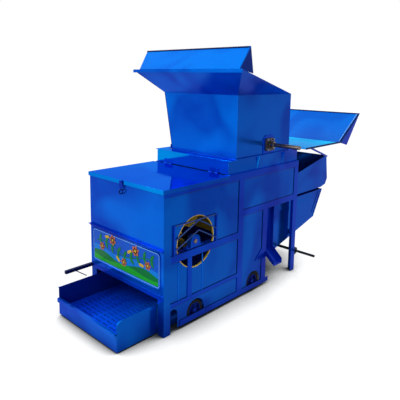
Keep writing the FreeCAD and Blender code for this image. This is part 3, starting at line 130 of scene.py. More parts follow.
class ThresherLooks(bpy.types.PropertyGroup):
    """Sizes and colours that the pieces share."""

    edge: millimetres("Edge rounding", "Radius of softened sheet edges", 0.9)
    bead: millimetres("Weld bead", "Radius of a weld bead", 2.6)
    bolt: millimetres("Bolt size", "Width across a bolt head's flats", 17)
    middle_rail: millimetres("Middle rail", "Level of the middle side rail's lower edge", 495)
    rail_height: millimetres("Rail height", "Height of the middle and the rear side rail", 50)
    low_rail: millimetres("Low rail", "Level of the low side rail's lower edge", 185)
    low_rail_height: millimetres("Low rail height", "Height of the low side rail", 30)
    foot_rail: millimetres("Foot rail", "Level of the foot rail's top", 65)
    rod: millimetres("Guard rod", "Diameter of the fan guard's rods", 9)
    wave: FloatProperty(name="Sheet waviness", description="Depth of the slow waves in painted sheet",
                        default=0.35, min=0, max=1)
    chevrons: IntProperty(name="Guard chevrons", description="Bent rods across each fan inlet", default=2)
    # Painted shade: the dark beads along the side panels' edges stand for the shade at the steps to the posts and
    # rails
    shade_bead: millimetres("Seam sealant", "Radius of the dark bead along the panels' edges", 4)
    blue: swatch("Blue paint", "Main paint", (0.0, 0.1, 0.565))
    royal: swatch("Royal paint", "Posts and rails", (0.0, 0.045, 0.44))
    sky: swatch("Sky paint", "Guard and table paint", (0.0, 0.15, 0.63))
    ochre: swatch("Ochre paint", "Fan paint", (0.8, 0.43, 0.045))
    black: swatch("Black paint", "Drive paint", (0.018, 0.018, 0.02))


def looks():
    """The shared settings."""
    return bpy.context.scene.thresher_looks


# Materials

def new_material(name):
    """A material, its tree of nodes and its shader."""
    material = bpy.data.materials.new(name)
    material.use_nodes = True
    return material, material.node_tree, material.node_tree.nodes["Principled BSDF"]


def feed(tree, node, **inputs):
    """Set a node's inputs, or link them where another node's output is given."""
    for name, value in inputs.items():
        socket = node.inputs[name.replace("_", " ")]
        if isinstance(value, bpy.types.NodeSocket):
            tree.links.new(value, socket)
        else:
            socket.default_value = value
    return node


def add_node(tree, kind, **inputs):
    """A new node with its inputs."""
    return feed(tree, tree.nodes.new(kind), **inputs)


def noise(tree, where, scale, detail, distortion=0):
    """A noise texture in object space."""
    return add_node(tree, "ShaderNodeTexNoise", Scale=scale, Detail=detail, Distortion=distortion,
                    Vector=where.outputs["Object"]).outputs["Fac"]


def spread(tree, source, low, high, start=0.3, end=0.7):
    """Map the middle of a 0 to 1 value to a range."""
    return add_node(tree, "ShaderNodeMapRange", From_Min=start, From_Max=end, To_Min=low, To_Max=high,
                    Value=source).outputs["Result"]


def blend(tree, first, second, factor):
    """Mix two colours by a value."""
    mix = tree.nodes.new("ShaderNodeMix")
    mix.data_type = "RGBA"
    return feed(tree, mix, A=first, B=second, Factor=factor).outputs["Result"]


def relief(tree, height, strength, distance, **under):
    """A bump, on top of another one where that is given."""
    return add_node(tree, "ShaderNodeBump", Strength=strength, Distance=distance, Height=height,
                    **under).outputs["Normal"]


def reckon(tree, operation, first, second):
    """One step of arithmetic on two values."""
    step = tree.nodes.new("ShaderNodeMath")
    step.operation = operation
    tree.links.new(first, step.inputs[0])
    tree.links.new(second, step.inputs[1])
    return step.outputs["Value"]


def paint(name, colour, rough, wave, flake=0.58, dust=0.01, depth=0.5, specular=0.1):
    """Metal flake gloss paint: slow waves of the sheet, broad lighter and darker patches of painted reflection,
    fine grain and a little dust.
    """
    material, tree, shader = new_material(name)
    where = add_node(tree, "ShaderNodeTexCoord")
    slow, grain, patches = (noise(tree, where, *of) for of in ((2.4, 2), (420, 2), (7, 5)))
    reflection_patches = noise(tree, where, 1.9, 1.5, distortion=0.6)
    red, green, blue = colour
    # Painted reflection: darker and lighter copies of the colour in broad patches, for the surroundings mirrored in
    # the glossy sheet
    painted_dark_patch = (red * (1 - depth), green * (1 - depth), blue * (1 - depth / 2), 1)
    painted_bright_patch = (red, green * (1 + depth / 2), blue * (1 + depth / 5), 1)
    dusty = (*(part * (1 - dust) + 0.3 * dust for part in colour), 1)
    painted_reflection_tone = blend(tree, painted_dark_patch, painted_bright_patch, spread(tree, reflection_patches, 0, 1, 0.44, 0.58))
    waves = relief(tree, slow, wave, 20 * MM)
    feed(tree, shader, Metallic=flake, Specular_IOR_Level=specular, Specular_Tint=(0.0, 0.36, 1, 1),
         Base_Color=blend(tree, painted_reflection_tone, dusty, spread(tree, patches, 0, 0.4)),
         Roughness=spread(tree, patches, rough * 0.75, rough * 1.35),
         Normal=relief(tree, grain, 0.05, 0.5 * MM, Normal=waves))
    return material


def metal(name, colour, rough, metallic=1.0, stain=(0.16, 0.09, 0.05)):
    """Bare metal with turning marks and faint stains."""
    material, tree, shader = new_material(name)
    where = add_node(tree, "ShaderNodeTexCoord")
    stains, marks = noise(tree, where, 34, 6), noise(tree, where, 650, 2)
    feed(tree, shader, Metallic=metallic, Normal=relief(tree, marks, 0.15, 0.4 * MM),
         Base_Color=blend(tree, (*colour, 1), (*stain, 1), spread(tree, stains, 0, 0.45)),
         Roughness=spread(tree, stains, rough * 0.7, rough * 1.5))
    return material


def rubber(name):
    """Black rubber with a breath of dust."""
    material, tree, shader = new_material(name)
    dust = noise(tree, add_node(tree, "ShaderNodeTexCoord"), 60, 6)
    feed(tree, shader, Roughness=0.75, Specular_IOR_Level=0.1,
         Base_Color=blend(tree, (0.004, 0.004, 0.004, 1), (0.014, 0.013, 0.012, 1), dust))
    return material


def flat_ink(name, colour):
    """Brushed enamel of the panel's picture."""
    return paint(name, colour, 0.3, 0.1, flake=0, dust=0.05, depth=0.15, specular=0.2)


def make_materials():
    """Every finish by its short name."""
    look = looks()
    return {
        "blue": paint("blue_gloss", look.blue, 0.16, look.wave),
        # Painted shade: a darker copy of the blue for the faces on the machine's sides
        "painted_shade_blue": paint("painted_shade_blue_gloss", tuple(0.72 * c for c in look.blue), 0.16, look.wave),
        "royal": paint("royal_gloss", look.royal, 0.2, look.wave / 2, flake=0.4),
        "hub": paint("hub_gloss", (0.0, 0.02, 0.2), 0.3, 0.05),
        "sky": paint("sky_gloss", look.sky, 0.25, look.wave, flake=0.2, depth=0.25, specular=0.03),
        # Painted sheen: a light cyan for the feed table's upward faces, for the sky they mirror at a grazing angle
        "painted_sheen": paint("painted_sheen_gloss", (0.0, 0.62, 0.95), 0.2, look.wave, flake=0.3, depth=0.25, specular=0.03),
        "navy": paint("navy_gloss", (0.0, 0.006, 0.06), 0.35, 0.05, flake=0.1, depth=0.2),
        "shade": paint("shade_gloss", (0.0, 0.02, 0.2), 0.3, look.wave, flake=0.15),
        "deep": paint("deep_gloss", (0.0, 0.08, 0.75), 0.3, 0.2, flake=0.4),
        # Real gloss from the low roughness; the base colour is lighter and more cyan than the blue as a painted
        # reflection of the sky
        "mirror": paint("mirror_gloss", (0.0, 0.21, 0.67), 0.06, 0.12, flake=0.95, depth=0.2),
        "rod": paint("rod_grey", (0.05, 0.08, 0.25), 0.35, 0.05, flake=0.2, depth=0.2),
        "ochre": paint("ochre_satin", look.ochre, 0.45, 0.1, flake=0.5, dust=0.1),
        # Painted light: a brighter copy of the ochre for the fan's blades and spiders, which the lamps barely reach
        # inside the fan's scroll
        "painted_light_ochre": paint("painted_light_ochre_satin", tuple(1.25 * c for c in look.ochre), 0.45, 0.1, flake=0.3, dust=0.1),
        # Painted shade: a darker copy of the ochre for the fan scroll's inside, which lies in shade
        "painted_shade_ochre": paint("painted_shade_ochre_satin", tuple(0.22 * c for c in look.ochre), 0.5, 0.1, flake=0.2, dust=0.05),
        "black": paint("black_satin", look.black, 0.35, 0.05, flake=0, dust=0.05),
        "steel": metal("worn_steel", (0.16, 0.14, 0.125), 0.28),
        "zinc": metal("zinc_fittings", (0.2, 0.22, 0.27), 0.4, stain=(0.1, 0.1, 0.12)),
        "iron": metal("bearing_iron", (0.05, 0.043, 0.04), 0.45, metallic=0.6),
        "rubber": rubber("tyre_rubber"),
        "panel": flat_ink("panel_sky", (0.0, 0.085, 0.5)),
        "pond": flat_ink("panel_pond", (0.0, 0.2, 0.62)),
        "border": flat_ink("panel_border", (0.25, 0.5, 0.95)),
        "leaf": flat_ink("panel_leaf", (0.0, 0.17, 0.02)),
        "sprig": flat_ink("panel_sprig", (0.01, 0.36, 0.01)),
        "coral": flat_ink("panel_coral", (0.55, 0.13, 0.05)),
        "sun": flat_ink("panel_sun", (0.72, 0.42, 0.02)),
    }


def finish(name):
    """The material of that short name, made once."""
    if not made:
        made.update(make_materials())
    return made[name]


# Building pieces

def new_mesh(name, bm):
    """A mesh from a bmesh, which is freed."""
    mesh = bpy.data.meshes.new(name)
    bm.to_mesh(mesh)
    bm.free()
    return mesh


def new_object(name, data):
    """An object in the scene's collection."""
    thing = bpy.data.objects.new(name, data)
    bpy.context.scene.collection.objects.link(thing)
    return thing


def add_piece(name, bm, body, look, smooth=35):
    """Turn a bmesh into a piece that rides on a body of the machine."""
    bmesh.ops.recalc_face_normals(bm, faces=bm.faces)
    mesh = new_mesh(name, bm)
    for polygon in mesh.polygons:
        polygon.use_smooth = True
    mesh.set_sharp_from_angle(angle=math.radians(smooth))
    piece = new_object(name, mesh)
    mesh.materials.append(finish(look))
    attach(piece, body)
    return piece


def across(axis):
    """Two directions square to an axis and to each other."""
    axis = Vector(axis).normalized()
    helper = UP if abs(axis.z) < 0.9 else Vector((0, 1, 0))
    side = axis.cross(helper).normalized()
    return side, axis.cross(side).normalized()


def circle(count):
    """Cosine and sine of evenly spread angles."""
    turns = [2 * math.pi * i / count for i in range(count)]
    return [(math.cos(turn), math.sin(turn)) for turn in turns]


def lathe(bm, profile, centre, axis, steps=24):
    """Turn a closed outline of (along, radius) about an axis."""
    side, up = across(axis)
    centre, axis = Vector(centre), Vector(axis).normalized()
    rings = []
    for cos, sin in circle(steps):
        out = side * cos + up * sin
        rings.append([bm.verts.new(centre + axis * along + out * radius) for along, radius in profile])
    count = len(profile)
    for i in range(steps):
        here, there = rings[i], rings[(i + 1) % steps]
        for j in range(count):
            k = (j + 1) % count
            corners = (here[j], there[j], there[k], here[k])
            if (corners[0].co - corners[3].co).length > 1e-7:
                bm.faces.new(corners)


def prism(bm, outline, thickness):
    """A flat piece from an outline of points in space, thick along the outline's normal by a vector."""
    low = [bm.verts.new(point) for point in outline]
    high = [bm.verts.new(Vector(point) + thickness) for point in outline]
    bm.faces.new(low[::-1])
    bm.faces.new(high)
    for i in range(len(low)):
        j = (i + 1) % len(low)
        bm.faces.new((low[i], low[j], high[j], high[i]))


def skin(bm, rings):
    """Join rings of as many points each, and close the first and the last."""
    count = len(rings[0])
    for low, high in zip(rings, rings[1:]):
        for i in range(count):
            j = (i + 1) % count
            bm.faces.new((low[i], low[j], high[j], high[i]))
    bm.faces.new(rings[0][::-1])
    bm.faces.new(rings[-1])


def hex_bolt(bm, place, axis, size):
    """A washer, a chamfered hexagon head and the end of its bolt, in shares of the width across flats."""
    axis, place = Vector(axis).normalized(), Vector(place)
    washer, head = 0.12 * size, 0.67 * size
    bore, washer_foot, washer_top = 0.05 * size, 0.675 * size, 0.65 * size
    lathe(bm, [(0, bore), (0, washer_foot), (washer, washer_top), (washer, bore)], place, axis, 20)
    side, up = across(axis)
    corner = size / 2 / math.cos(math.pi / 6)
    shoulder = washer + 0.85 * (head - washer)
    skin(bm, [[bm.verts.new(place + axis * along + (side * cos + up * sin) * reach) for cos, sin in circle(6)]
              for along, reach in ((washer, corner), (shoulder, corner), (head, 0.86 * corner))])
    thread, bevel, core = 0.25 * size, 0.23 * size, 0.025 * size
    lathe(bm, [(head, core), (head, thread), (head + 0.2 * size, bevel), (head + 0.22 * size, core)],
          place, axis, 16)


def tube(bm, points, radius, sides=10, ripple=0, pitch=6 * MM):
    """A round bar, or a rippled weld bead of three points to a pitch, along a line of points."""
    points = [Vector(point) for point in points]
    if ripple:
        points = evenly(points, pitch / 3)
    rings = []
    for i, point in enumerate(points):
        ahead = points[min(i + 1, len(points) - 1)] - points[max(i - 1, 0)]
        side, up = across(ahead)
        swell = 1 + ripple * math.cos(2 * math.pi * i / 3)
        rings.append([bm.verts.new(point + (side * cos + up * sin) * radius * swell)
                      for cos, sin in circle(sides)])
    skin(bm, rings)


def evenly(points, step):
    """The same line with points at even steps."""
    line = []
    for start, end in zip(points, points[1:]):
        count = max(1, round((end - start).length / step))
        line += [start.lerp(end, i / count) for i in range(count)]
    return line + [points[-1]]


def bars(bm, line, radius, sides=10):
    """A bar along each stretch of a line, so that its corners stay sharp."""
    for start, end in zip(line, line[1:]):
        tube(bm, [start, end], radius, sides)


def bend(start, corner, end, radius, steps=5):
    """A line through a corner that is rounded off."""
    start, corner, end = Vector(start), Vector(corner), Vector(end)
    a = corner + (start - corner).normalized() * radius
    b = corner + (end - corner).normalized() * radius
    curve = []
    for i in range(steps + 1):
        t = i / steps
        curve.append(a.lerp(corner, t).lerp(corner.lerp(b, t), t))
    return [start, *curve, end]


def middle(low, high):
    """The point or value half way."""
    return (low + high) / 2


def vertices(node):
    """The places of a node's vertices."""
    return [vertex.co for vertex in frame["nodes"][node].data.vertices]


def boxed(node):
    """Low and high corner of a node, as vectors."""
    low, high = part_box(node)
    return Vector(low), Vector(high)


def centre_x():
    """The machine's mid-plane."""
    return middle(*boxed("top_rails")).x


# Dressing the nodes

def dress(node, look, body, edge, keep_angle=40, merge=True, facing=None):
    """Show a node with softened edges and its own finish, and a second finish of painted light or shade for faces
    that look some way.
    """
    source = frame["nodes"][node]
    bm = bmesh.new()
    bm.from_mesh(source.data)
    bmesh.ops.remove_doubles(bm, verts=bm.verts, dist=0.01 * MM)
    if merge:
        bmesh.ops.dissolve_limit(bm, angle_limit=math.radians(0.5), verts=bm.verts, edges=bm.edges)
    piece = add_piece(f"{node}_dressed", bm, body, look, smooth=keep_angle)
    if facing:
        second, ways, least = facing
        piece.data.materials.append(finish(second))
        for polygon in piece.data.polygons:
            polygon.material_index = int(any(polygon.normal.dot(way) > least for way in ways))
    bevel = piece.modifiers.new("edge", "BEVEL")
    bevel.width = edge
    bevel.segments = 2
    bevel.limit_method = "ANGLE"
    bevel.angle_limit = math.radians(keep_angle)
    bevel.harden_normals = True
    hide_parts(node)
    return piece


def body_of(node):
    """The body that a node belongs to, as the record lists it."""
    bodies = frame["record"]["behaviour"]["bodies"]
    return next(name for name, nodes in bodies.items() if node in nodes)


class ThresherOperator(bpy.types.Operator):
    """Shared settings of the dressing steps."""

    bl_options = {"REGISTER", "UNDO"}

    def execute(self, context):
        self.build(looks())
        return {"FINISHED"}


class OBJECT_OT_thresher_sheets(ThresherOperator):
    """Soften and finish every sub-part that keeps its own form"""

    bl_idname = "object.thresher_sheets"
    bl_label = "Dress the sheets and angles"

    angle_rounding: FloatProperty(name="Angle rounding", default=2.2, min=1,
                                  description="How much rounder rolled angles are than sheet")

    def build(self, look):
        for name, nodes in FINISHES.items():
            rounding = look.edge * (self.angle_rounding if name == "royal" else 1)
            for node in nodes:
                dress(node, name, body_of(node), rounding, facing=FACING.get(node))


class OBJECT_OT_thresher_shafts(ThresherOperator):
    """Cut keyways into the two free shaft ends"""

    bl_idname = "object.thresher_shafts"
    bl_label = "Finish the shafts"

    key_width: millimetres("Keyway width", "Width of each keyway", 9)
    key_length: millimetres("Keyway length", "Length of each keyway", 70)
    key_floor: FloatProperty(name="Keyway floor", description="Level of the keyway's floor, in shaft radii",
                             default=0.72, min=0, max=1)

    # How far the cutter stands over the shaft's end, and its top in shaft radii, so that the cut is clean
    OVER, TOP = 10 * MM, 1.3

    def build(self, look):
        for node, name, bearing in (("drum_shaft", "steel", "drum_bearings"),
                                    ("eccentric_shaft", "black", "crank_bearings")):
            shaft = dress(node, name, body_of(node), look.edge)
            end = boxed(node)[1].x
            axle = middle(*boxed(bearing))
            radius = self.end_radius(node, end, axle)
            low_y, high_y = axle.y - self.key_width / 2, axle.y + self.key_width / 2
            start, stop = end - self.key_length, end + self.OVER
            floor = axle.z + radius * self.key_floor
            outline = [(start, low_y, floor), (stop, low_y, floor), (stop, high_y, floor), (start, high_y, floor)]
            cutter = bmesh.new()
            prism(cutter, outline, UP * (self.TOP - self.key_floor) * radius)
            self.cut(shaft, cutter)

    def end_radius(self, node, end, axle, zone=54 * MM):
        """The radius of the shaft's end, read from its mesh."""
        return max(math.hypot(p.y - axle.y, p.z - axle.z) for p in vertices(node) if p.x > end - zone)

    def cut(self, piece, bm):
        """Cut a form out of a piece, and keep the piece's mesh as evaluated."""
        bmesh.ops.recalc_face_normals(bm, faces=bm.faces)
        cutter = new_object("keyway_cutter", new_mesh("keyway_cutter", bm))
        boolean = piece.modifiers.new("keyway", "BOOLEAN")
        boolean.operation = "DIFFERENCE"
        boolean.object = cutter
        boolean.solver = "EXACT"
        piece.modifiers.move(len(piece.modifiers) - 1, 0)
        bpy.context.view_layer.update()
        evaluated = piece.evaluated_get(bpy.context.evaluated_depsgraph_get())
        cut_mesh = bpy.data.meshes.new_from_object(evaluated)
        piece.modifiers.clear()
        piece.data = cut_mesh
        bpy.data.objects.remove(cutter)


class OBJECT_OT_thresher_picture(ThresherOperator):
    """Frame the front plate and paint a sprig of leaves, blossoms and pods on it"""

    bl_idname = "object.thresher_picture"
    bl_label = "Paint the front plate"

    relief: millimetres("Paint relief", "How far each layer of the picture stands off", 0.5)
    sprigs: IntProperty(name="Leaf pairs", description="Leaf pairs along the stem", default=9)
    blossoms: IntProperty(name="Blossoms", description="Blossoms along the stem", default=5)
    petals: IntProperty(name="Petals", description="Petals of a blossom", default=6)

    # The layer of paint that each part of the picture lies in
    LAYERS = {"ground": 0, "border": 1, "pond": 1, "leaf": 2, "sprig": 3, "stem": 3, "leaves": 4, "veins": 5,
              "petals": 6, "pods": 6, "hearts": 7}
    RIM, CORNER, LINE = 11 * MM, 22 * MM, 4 * MM
    # Bands of colour along the foot: height, swell, and the start of their wave
    BANDS = {"pond": (105 * MM, 12 * MM, 1.4), "leaf": (62 * MM, 20 * MM, 0.4), "sprig": (36 * MM, 12 * MM, 2.6)}
    BAND_WAVES, BAND_STEPS = 1.5, 32
    # The stem: its ends' distance from the plate's, its level, the height of its wave, waves, and their start
    STEM_INSET, STEM_LEVEL, STEM_SWING, STEM_WAVES, STEM_START = 60 * MM, 158 * MM, 26 * MM, 1.25, 0.6
    STEM_HALF, STEM_STEPS = 3.5 * MM, 48
    LEAF_LENGTH, LEAF_WIDTH, VEIN_LENGTH, VEIN_WIDTH = 58 * MM, 26 * MM, 48 * MM, 4 * MM
    HEART, POD, POD_WAIST, POD_FLATNESS = 10 * MM, 22 * MM, 0.32, 0.75

    def build(self, look):
        plate = dress("front_plate", "blue", "frame", look.edge, merge=False)
        self.low, self.high = boxed("front_plate")
        self.face = middle(self.low, self.high).y
        ground = bmesh.new()
        self.patch(ground, self.rounded(self.RIM, self.CORNER), "ground")
        self.show("ground", ground, "panel")
        self.border()
        self.bands()
        self.garland()
        self.blooms()

    def show(self, name, bm, look):
        """Add a part of the picture in its enamel."""
        add_piece(f"picture_{name}", bm, "frame", look)

    def patch(self, bm, outline, layer):
        """A flat patch of paint on the plate, from points (x, z)."""
        front = self.face - self.LAYERS[layer] * self.relief
        prism(bm, [(x, front, z) for x, z in outline], Vector((0, -self.relief, 0)))

    def rounded(self, inset, radius, steps=6):
        """The plate's rectangle set in, with round corners."""
        x0, x1 = self.low.x + inset + radius, self.high.x - inset - radius
        z0, z1 = self.low.z + inset + radius, self.high.z - inset - radius
        points = []
        for x, z, start in ((x1, z1, 0), (x0, z1, 90), (x0, z0, 180), (x1, z0, 270)):
            for i in range(steps + 1):
                angle = math.radians(start + 90 * i / steps)
                points.append((x + radius * math.cos(angle), z + radius * math.sin(angle)))
        return points

    def border(self):
        """A thin pale line around the picture."""
        line = bmesh.new()
        outer = self.rounded(self.RIM, self.CORNER)
        inner = self.rounded(self.RIM + self.LINE, self.CORNER - self.LINE)
        for i in range(len(outer)):
            j = (i + 1) % len(outer)
            self.patch(line, [outer[i], outer[j], inner[j], inner[i]], "border")
        self.show("border", line, "border")

    def bands(self):
        """Rolling bands of water and green along the plate's foot."""
        inset = 2 * self.RIM
        x0, x1, foot = self.low.x + inset, self.high.x - inset, self.low.z + inset
        for name, (height, swell, start) in self.BANDS.items():
            top = []
            for i in range(self.BAND_STEPS + 1):
                t = i / self.BAND_STEPS
                wave = math.sin(2 * math.pi * self.BAND_WAVES * (1 - t) + start)
                top.append((x1 - (x1 - x0) * t, foot + height + swell * wave))
            bm = bmesh.new()
            self.patch(bm, [(x0, foot), (x1, foot), *top], name)
            self.show(f"{name}_band", bm, name)

    def stem(self, t):
        """A point of the garland's stem, and its slope."""
        length = self.high.x - self.low.x - 2 * self.STEM_INSET
        turn = 2 * math.pi * self.STEM_WAVES
        x = self.low.x + self.STEM_INSET + t * length
        z = self.low.z + self.STEM_LEVEL + self.STEM_SWING * math.sin(turn * t + self.STEM_START)
        return x, z, math.atan(self.STEM_SWING * turn * math.cos(turn * t + self.STEM_START) / length)

    def turned(self, outline, x, z, angle):
        """An outline turned by an angle and set on a point."""
        cos, sin = math.cos(angle), math.sin(angle)
        return [(x + u * cos - v * sin, z + u * sin + v * cos) for u, v in outline]

    def leaf(self, bm, x, z, angle, length, width, layer, steps=9):
        """A pointed leaf."""
        edge = [(length * i / steps, width / 2 * math.sin(math.pi * (i / steps) ** 0.8)) for i in range(steps + 1)]
        outline = edge + [(u, -v) for u, v in edge[-2:0:-1]]
        self.patch(bm, self.turned(outline, x, z, angle)[::-1], layer)

    def garland(self):
        """A stem with leaf pairs across the plate."""
        stem, leaves, veins = bmesh.new(), bmesh.new(), bmesh.new()
        line = [self.stem(i / self.STEM_STEPS) for i in range(self.STEM_STEPS + 1)]
        edges = [[(x - side * math.sin(a) * self.STEM_HALF, z + side * math.cos(a) * self.STEM_HALF)
                  for x, z, a in line] for side in (1, -1)]
        self.patch(stem, (edges[0] + edges[1][::-1])[::-1], "stem")
        for i in range(self.sprigs):
            x, z, slope = self.stem((i + 0.5) / self.sprigs)
            for side in (1, -1):
                angle = slope + side * math.radians(62 - 4 * (i % 3))
                self.leaf(leaves, x, z, angle, self.LEAF_LENGTH, self.LEAF_WIDTH, "leaves")
                self.leaf(veins, x, z, angle, self.VEIN_LENGTH, self.VEIN_WIDTH, "veins")
        self.show("stem", stem, "leaf")
        self.show("leaves", leaves, "leaf")
        self.show("veins", veins, "sprig")

    def blooms(self):
        """Blossoms by turns above and below the stem, and pods between them."""
        petals, hearts, pods = bmesh.new(), bmesh.new(), bmesh.new()
        for i in range(self.blossoms):
            x, z, slope = self.stem((i + 0.5) / self.blossoms)
            lift, size = (52 * MM, 42 * MM) if i % 2 else (-46 * MM, 34 * MM)
            for k in range(self.petals):
                angle = slope + 2 * math.pi * k / self.petals
                self.leaf(petals, x, z + lift, angle, size, 0.7 * size, "petals")
            self.patch(hearts, [(x + self.HEART * cos, z + lift + self.HEART * sin) for cos, sin in circle(16)],
                       "hearts")
        for i in range(self.blossoms - 1):
            x, z, slope = self.stem((i + 1) / self.blossoms)
            lift, tilt = (-50 * MM, -20) if i % 2 else (46 * MM, 20)
            self.pod(pods, x, z + lift, slope + math.radians(tilt))
        self.show("petals", petals, "coral")
        self.show("hearts", hearts, "sun")
        self.show("pods", pods, "sun")

    def pod(self, bm, x, z, angle, steps=28):
        """A two-seeded pod with a waist."""
        outline = []
        for i in range(steps):
            turn = 2 * math.pi * i / steps
            reach = self.POD * (1 + self.POD_WAIST * math.cos(2 * turn)) / 1.1
            outline.append((reach * math.cos(turn), self.POD_FLATNESS * reach * math.sin(turn)))
        self.patch(bm, self.turned(outline, x, z, angle), "pods")


class OBJECT_OT_thresher_fan_guard(ThresherOperator):
    """Bend the chevron rods that guard each fan inlet, and arch a cover over each fan bearing"""

    bl_idname = "object.thresher_fan_guard"
    bl_label = "Guard the fan inlets"

    rise: millimetres("Chevron rise", "Height of each bent rod", 100)
    pitch: millimetres("Chevron pitch", "Distance between the bent rods", 71)
    lowest: millimetres("Lowest rod", "Drop of the lowest rod's ends below the fan's axle", 22)
    cover: millimetres("Cover sheet", "Thickness of the bearing covers", 4)

    # Half of a guide's width, the peak's place behind the middle, and the radius of a rod's bend
    GUIDE_HALF, PEAK_SETBACK, BEND = 7 * MM, 22 * MM, 12 * MM
    # A cover's gap over its bearing, its place in from the bearings' outer faces, and its length
    COVER_GAP, COVER_INSET, COVER_LENGTH = 3 * MM, 36 * MM, 38 * MM

    def build(self, look):
        low, high = boxed("inlet_struts")
        axle = middle(*boxed("fan_shaft"))
        radius = look.rod / 2
        front, rear = low.y + self.GUIDE_HALF, high.y - self.GUIDE_HALF
        peak, bar = middle(front, rear) + self.PEAK_SETBACK, high.z - radius
        for side, sign in SIDES.items():
            face = centre_x() + sign * ((high.x - low.x) / 2 - radius)
            rods = bmesh.new()
            for i in range(look.chevrons):
                foot = axle.z - self.lowest + self.pitch * i
                tube(rods, bend((face, front, foot), (face, peak, foot + self.rise), (face, rear, foot), self.BEND),
                     radius)
            tube(rods, [(face, front, bar), (face, rear, bar)], radius)
            add_piece(f"fan_guard_{side}", rods, "frame", "rod")
            self.arch(side, sign, axle)

    def arch(self, side, sign, axle, steps=16):
        """A bent cover over the bearing, standing on the middle rail."""
        low, high = boxed("fan_bearings")
        inner = high.z - axle.z + self.COVER_GAP
        foot = low.z - axle.z
        half_turn = circle(2 * steps)[:steps + 1]
        inside, outside = ([(radius, foot), *((radius * cos, radius * sin) for cos, sin in half_turn),
                            (-radius, foot)] for radius in (inner, inner + self.cover))
        start = centre_x() + sign * ((high.x - low.x) / 2 - self.COVER_INSET)
        depth = Vector((sign * self.COVER_LENGTH, 0, 0))
        bm = bmesh.new()
        for i in range(len(inside) - 1):
            corners = (inside[i], inside[i + 1], outside[i + 1], outside[i])
            prism(bm, [(start, axle.y + y, axle.z + z) for y, z in corners], depth)
        bmesh.ops.remove_doubles(bm, verts=bm.verts, dist=0.01 * MM)
        add_piece(f"bearing_cover_{side}", bm, "frame", "blue", smooth=30)


class OBJECT_OT_thresher_bolts(ThresherOperator):
    """Fasten the bearings, the brackets and the rear frame with bolts"""

    bl_idname = "object.thresher_bolts"
    bl_label = "Add bolts and grease nipples"

    # Pillow blocks: half their width, their foot's height, and each bolt's place in from the foot's end
    BLOCK_HALF, BLOCK_FOOT, FAN_BOLT_INSET, CRANK_BOLT_INSET = 19 * MM, 12 * MM, 18 * MM, 15 * MM
    # Drum flanges: thickness of plate and boss, the bolts' distance from the shaft each way, the nipple's place
    PLATE, BOSS, BOLT_REACH, NIPPLE_AHEAD, NIPPLE_RISE = 12 * MM, 28 * MM, 38 * MM, 8 * MM, 37 * MM

    def build(self, look):
        bolts, drum_bolts, nipples = bmesh.new(), bmesh.new(), bmesh.new()
        mid = centre_x()
        low, high = boxed("fan_bearings")
        for sign in SIDES.values():
            block_x = mid + sign * ((high.x - low.x) / 2 - self.BLOCK_HALF)
            for y in (low.y + self.FAN_BOLT_INSET, high.y - self.FAN_BOLT_INSET):
                hex_bolt(bolts, (block_x, y, low.z + self.BLOCK_FOOT), UP, look.bolt)
            self.nipple(nipples, (block_x, middle(low, high).y, high.z - 1 * MM))
        low, high = boxed("crank_bearings")
        for sign in SIDES.values():
            block_x = mid + sign * ((high.x - low.x) / 2 - self.BLOCK_HALF)
            for z in (low.z + self.CRANK_BOLT_INSET, high.z - self.CRANK_BOLT_INSET):
                hex_bolt(bolts, (block_x, low.y + self.BLOCK_FOOT, z), (0, 1, 0), look.bolt)
        low, high = boxed("drum_bearings")
        axle, boss = middle(low, high), self.BOSS - self.PLATE
        for face, sign in ((high.x - boss, 1), (low.x + boss, -1)):
            for dy in (-self.BOLT_REACH, self.BOLT_REACH):
                for dz in (-self.BOLT_REACH, self.BOLT_REACH):
                    hex_bolt(drum_bolts, (face, axle.y + dy, axle.z + dz), (sign, 0, 0), look.bolt)
            self.nipple(nipples, (face + sign * self.NIPPLE_AHEAD, axle.y, axle.z + self.NIPPLE_RISE))
        add_piece("frame_bolts", bolts, "frame", "royal")
        add_piece("drum_bolts", drum_bolts, "frame", "zinc")
        add_piece("grease_nipples", nipples, "frame", "zinc")

    def nipple(self, bm, place):
        """A small turned grease nipple that stands up: height and radius of each step in millimetres."""
        steps = ((0, 0.2), (0, 4.5), (4, 4.5), (5, 2.4), (8, 2.4), (9.5, 3.4), (11.5, 2.6), (12, 0.2))
        lathe(bm, [(along * MM, radius * MM) for along, radius in steps], place, UP, 14)


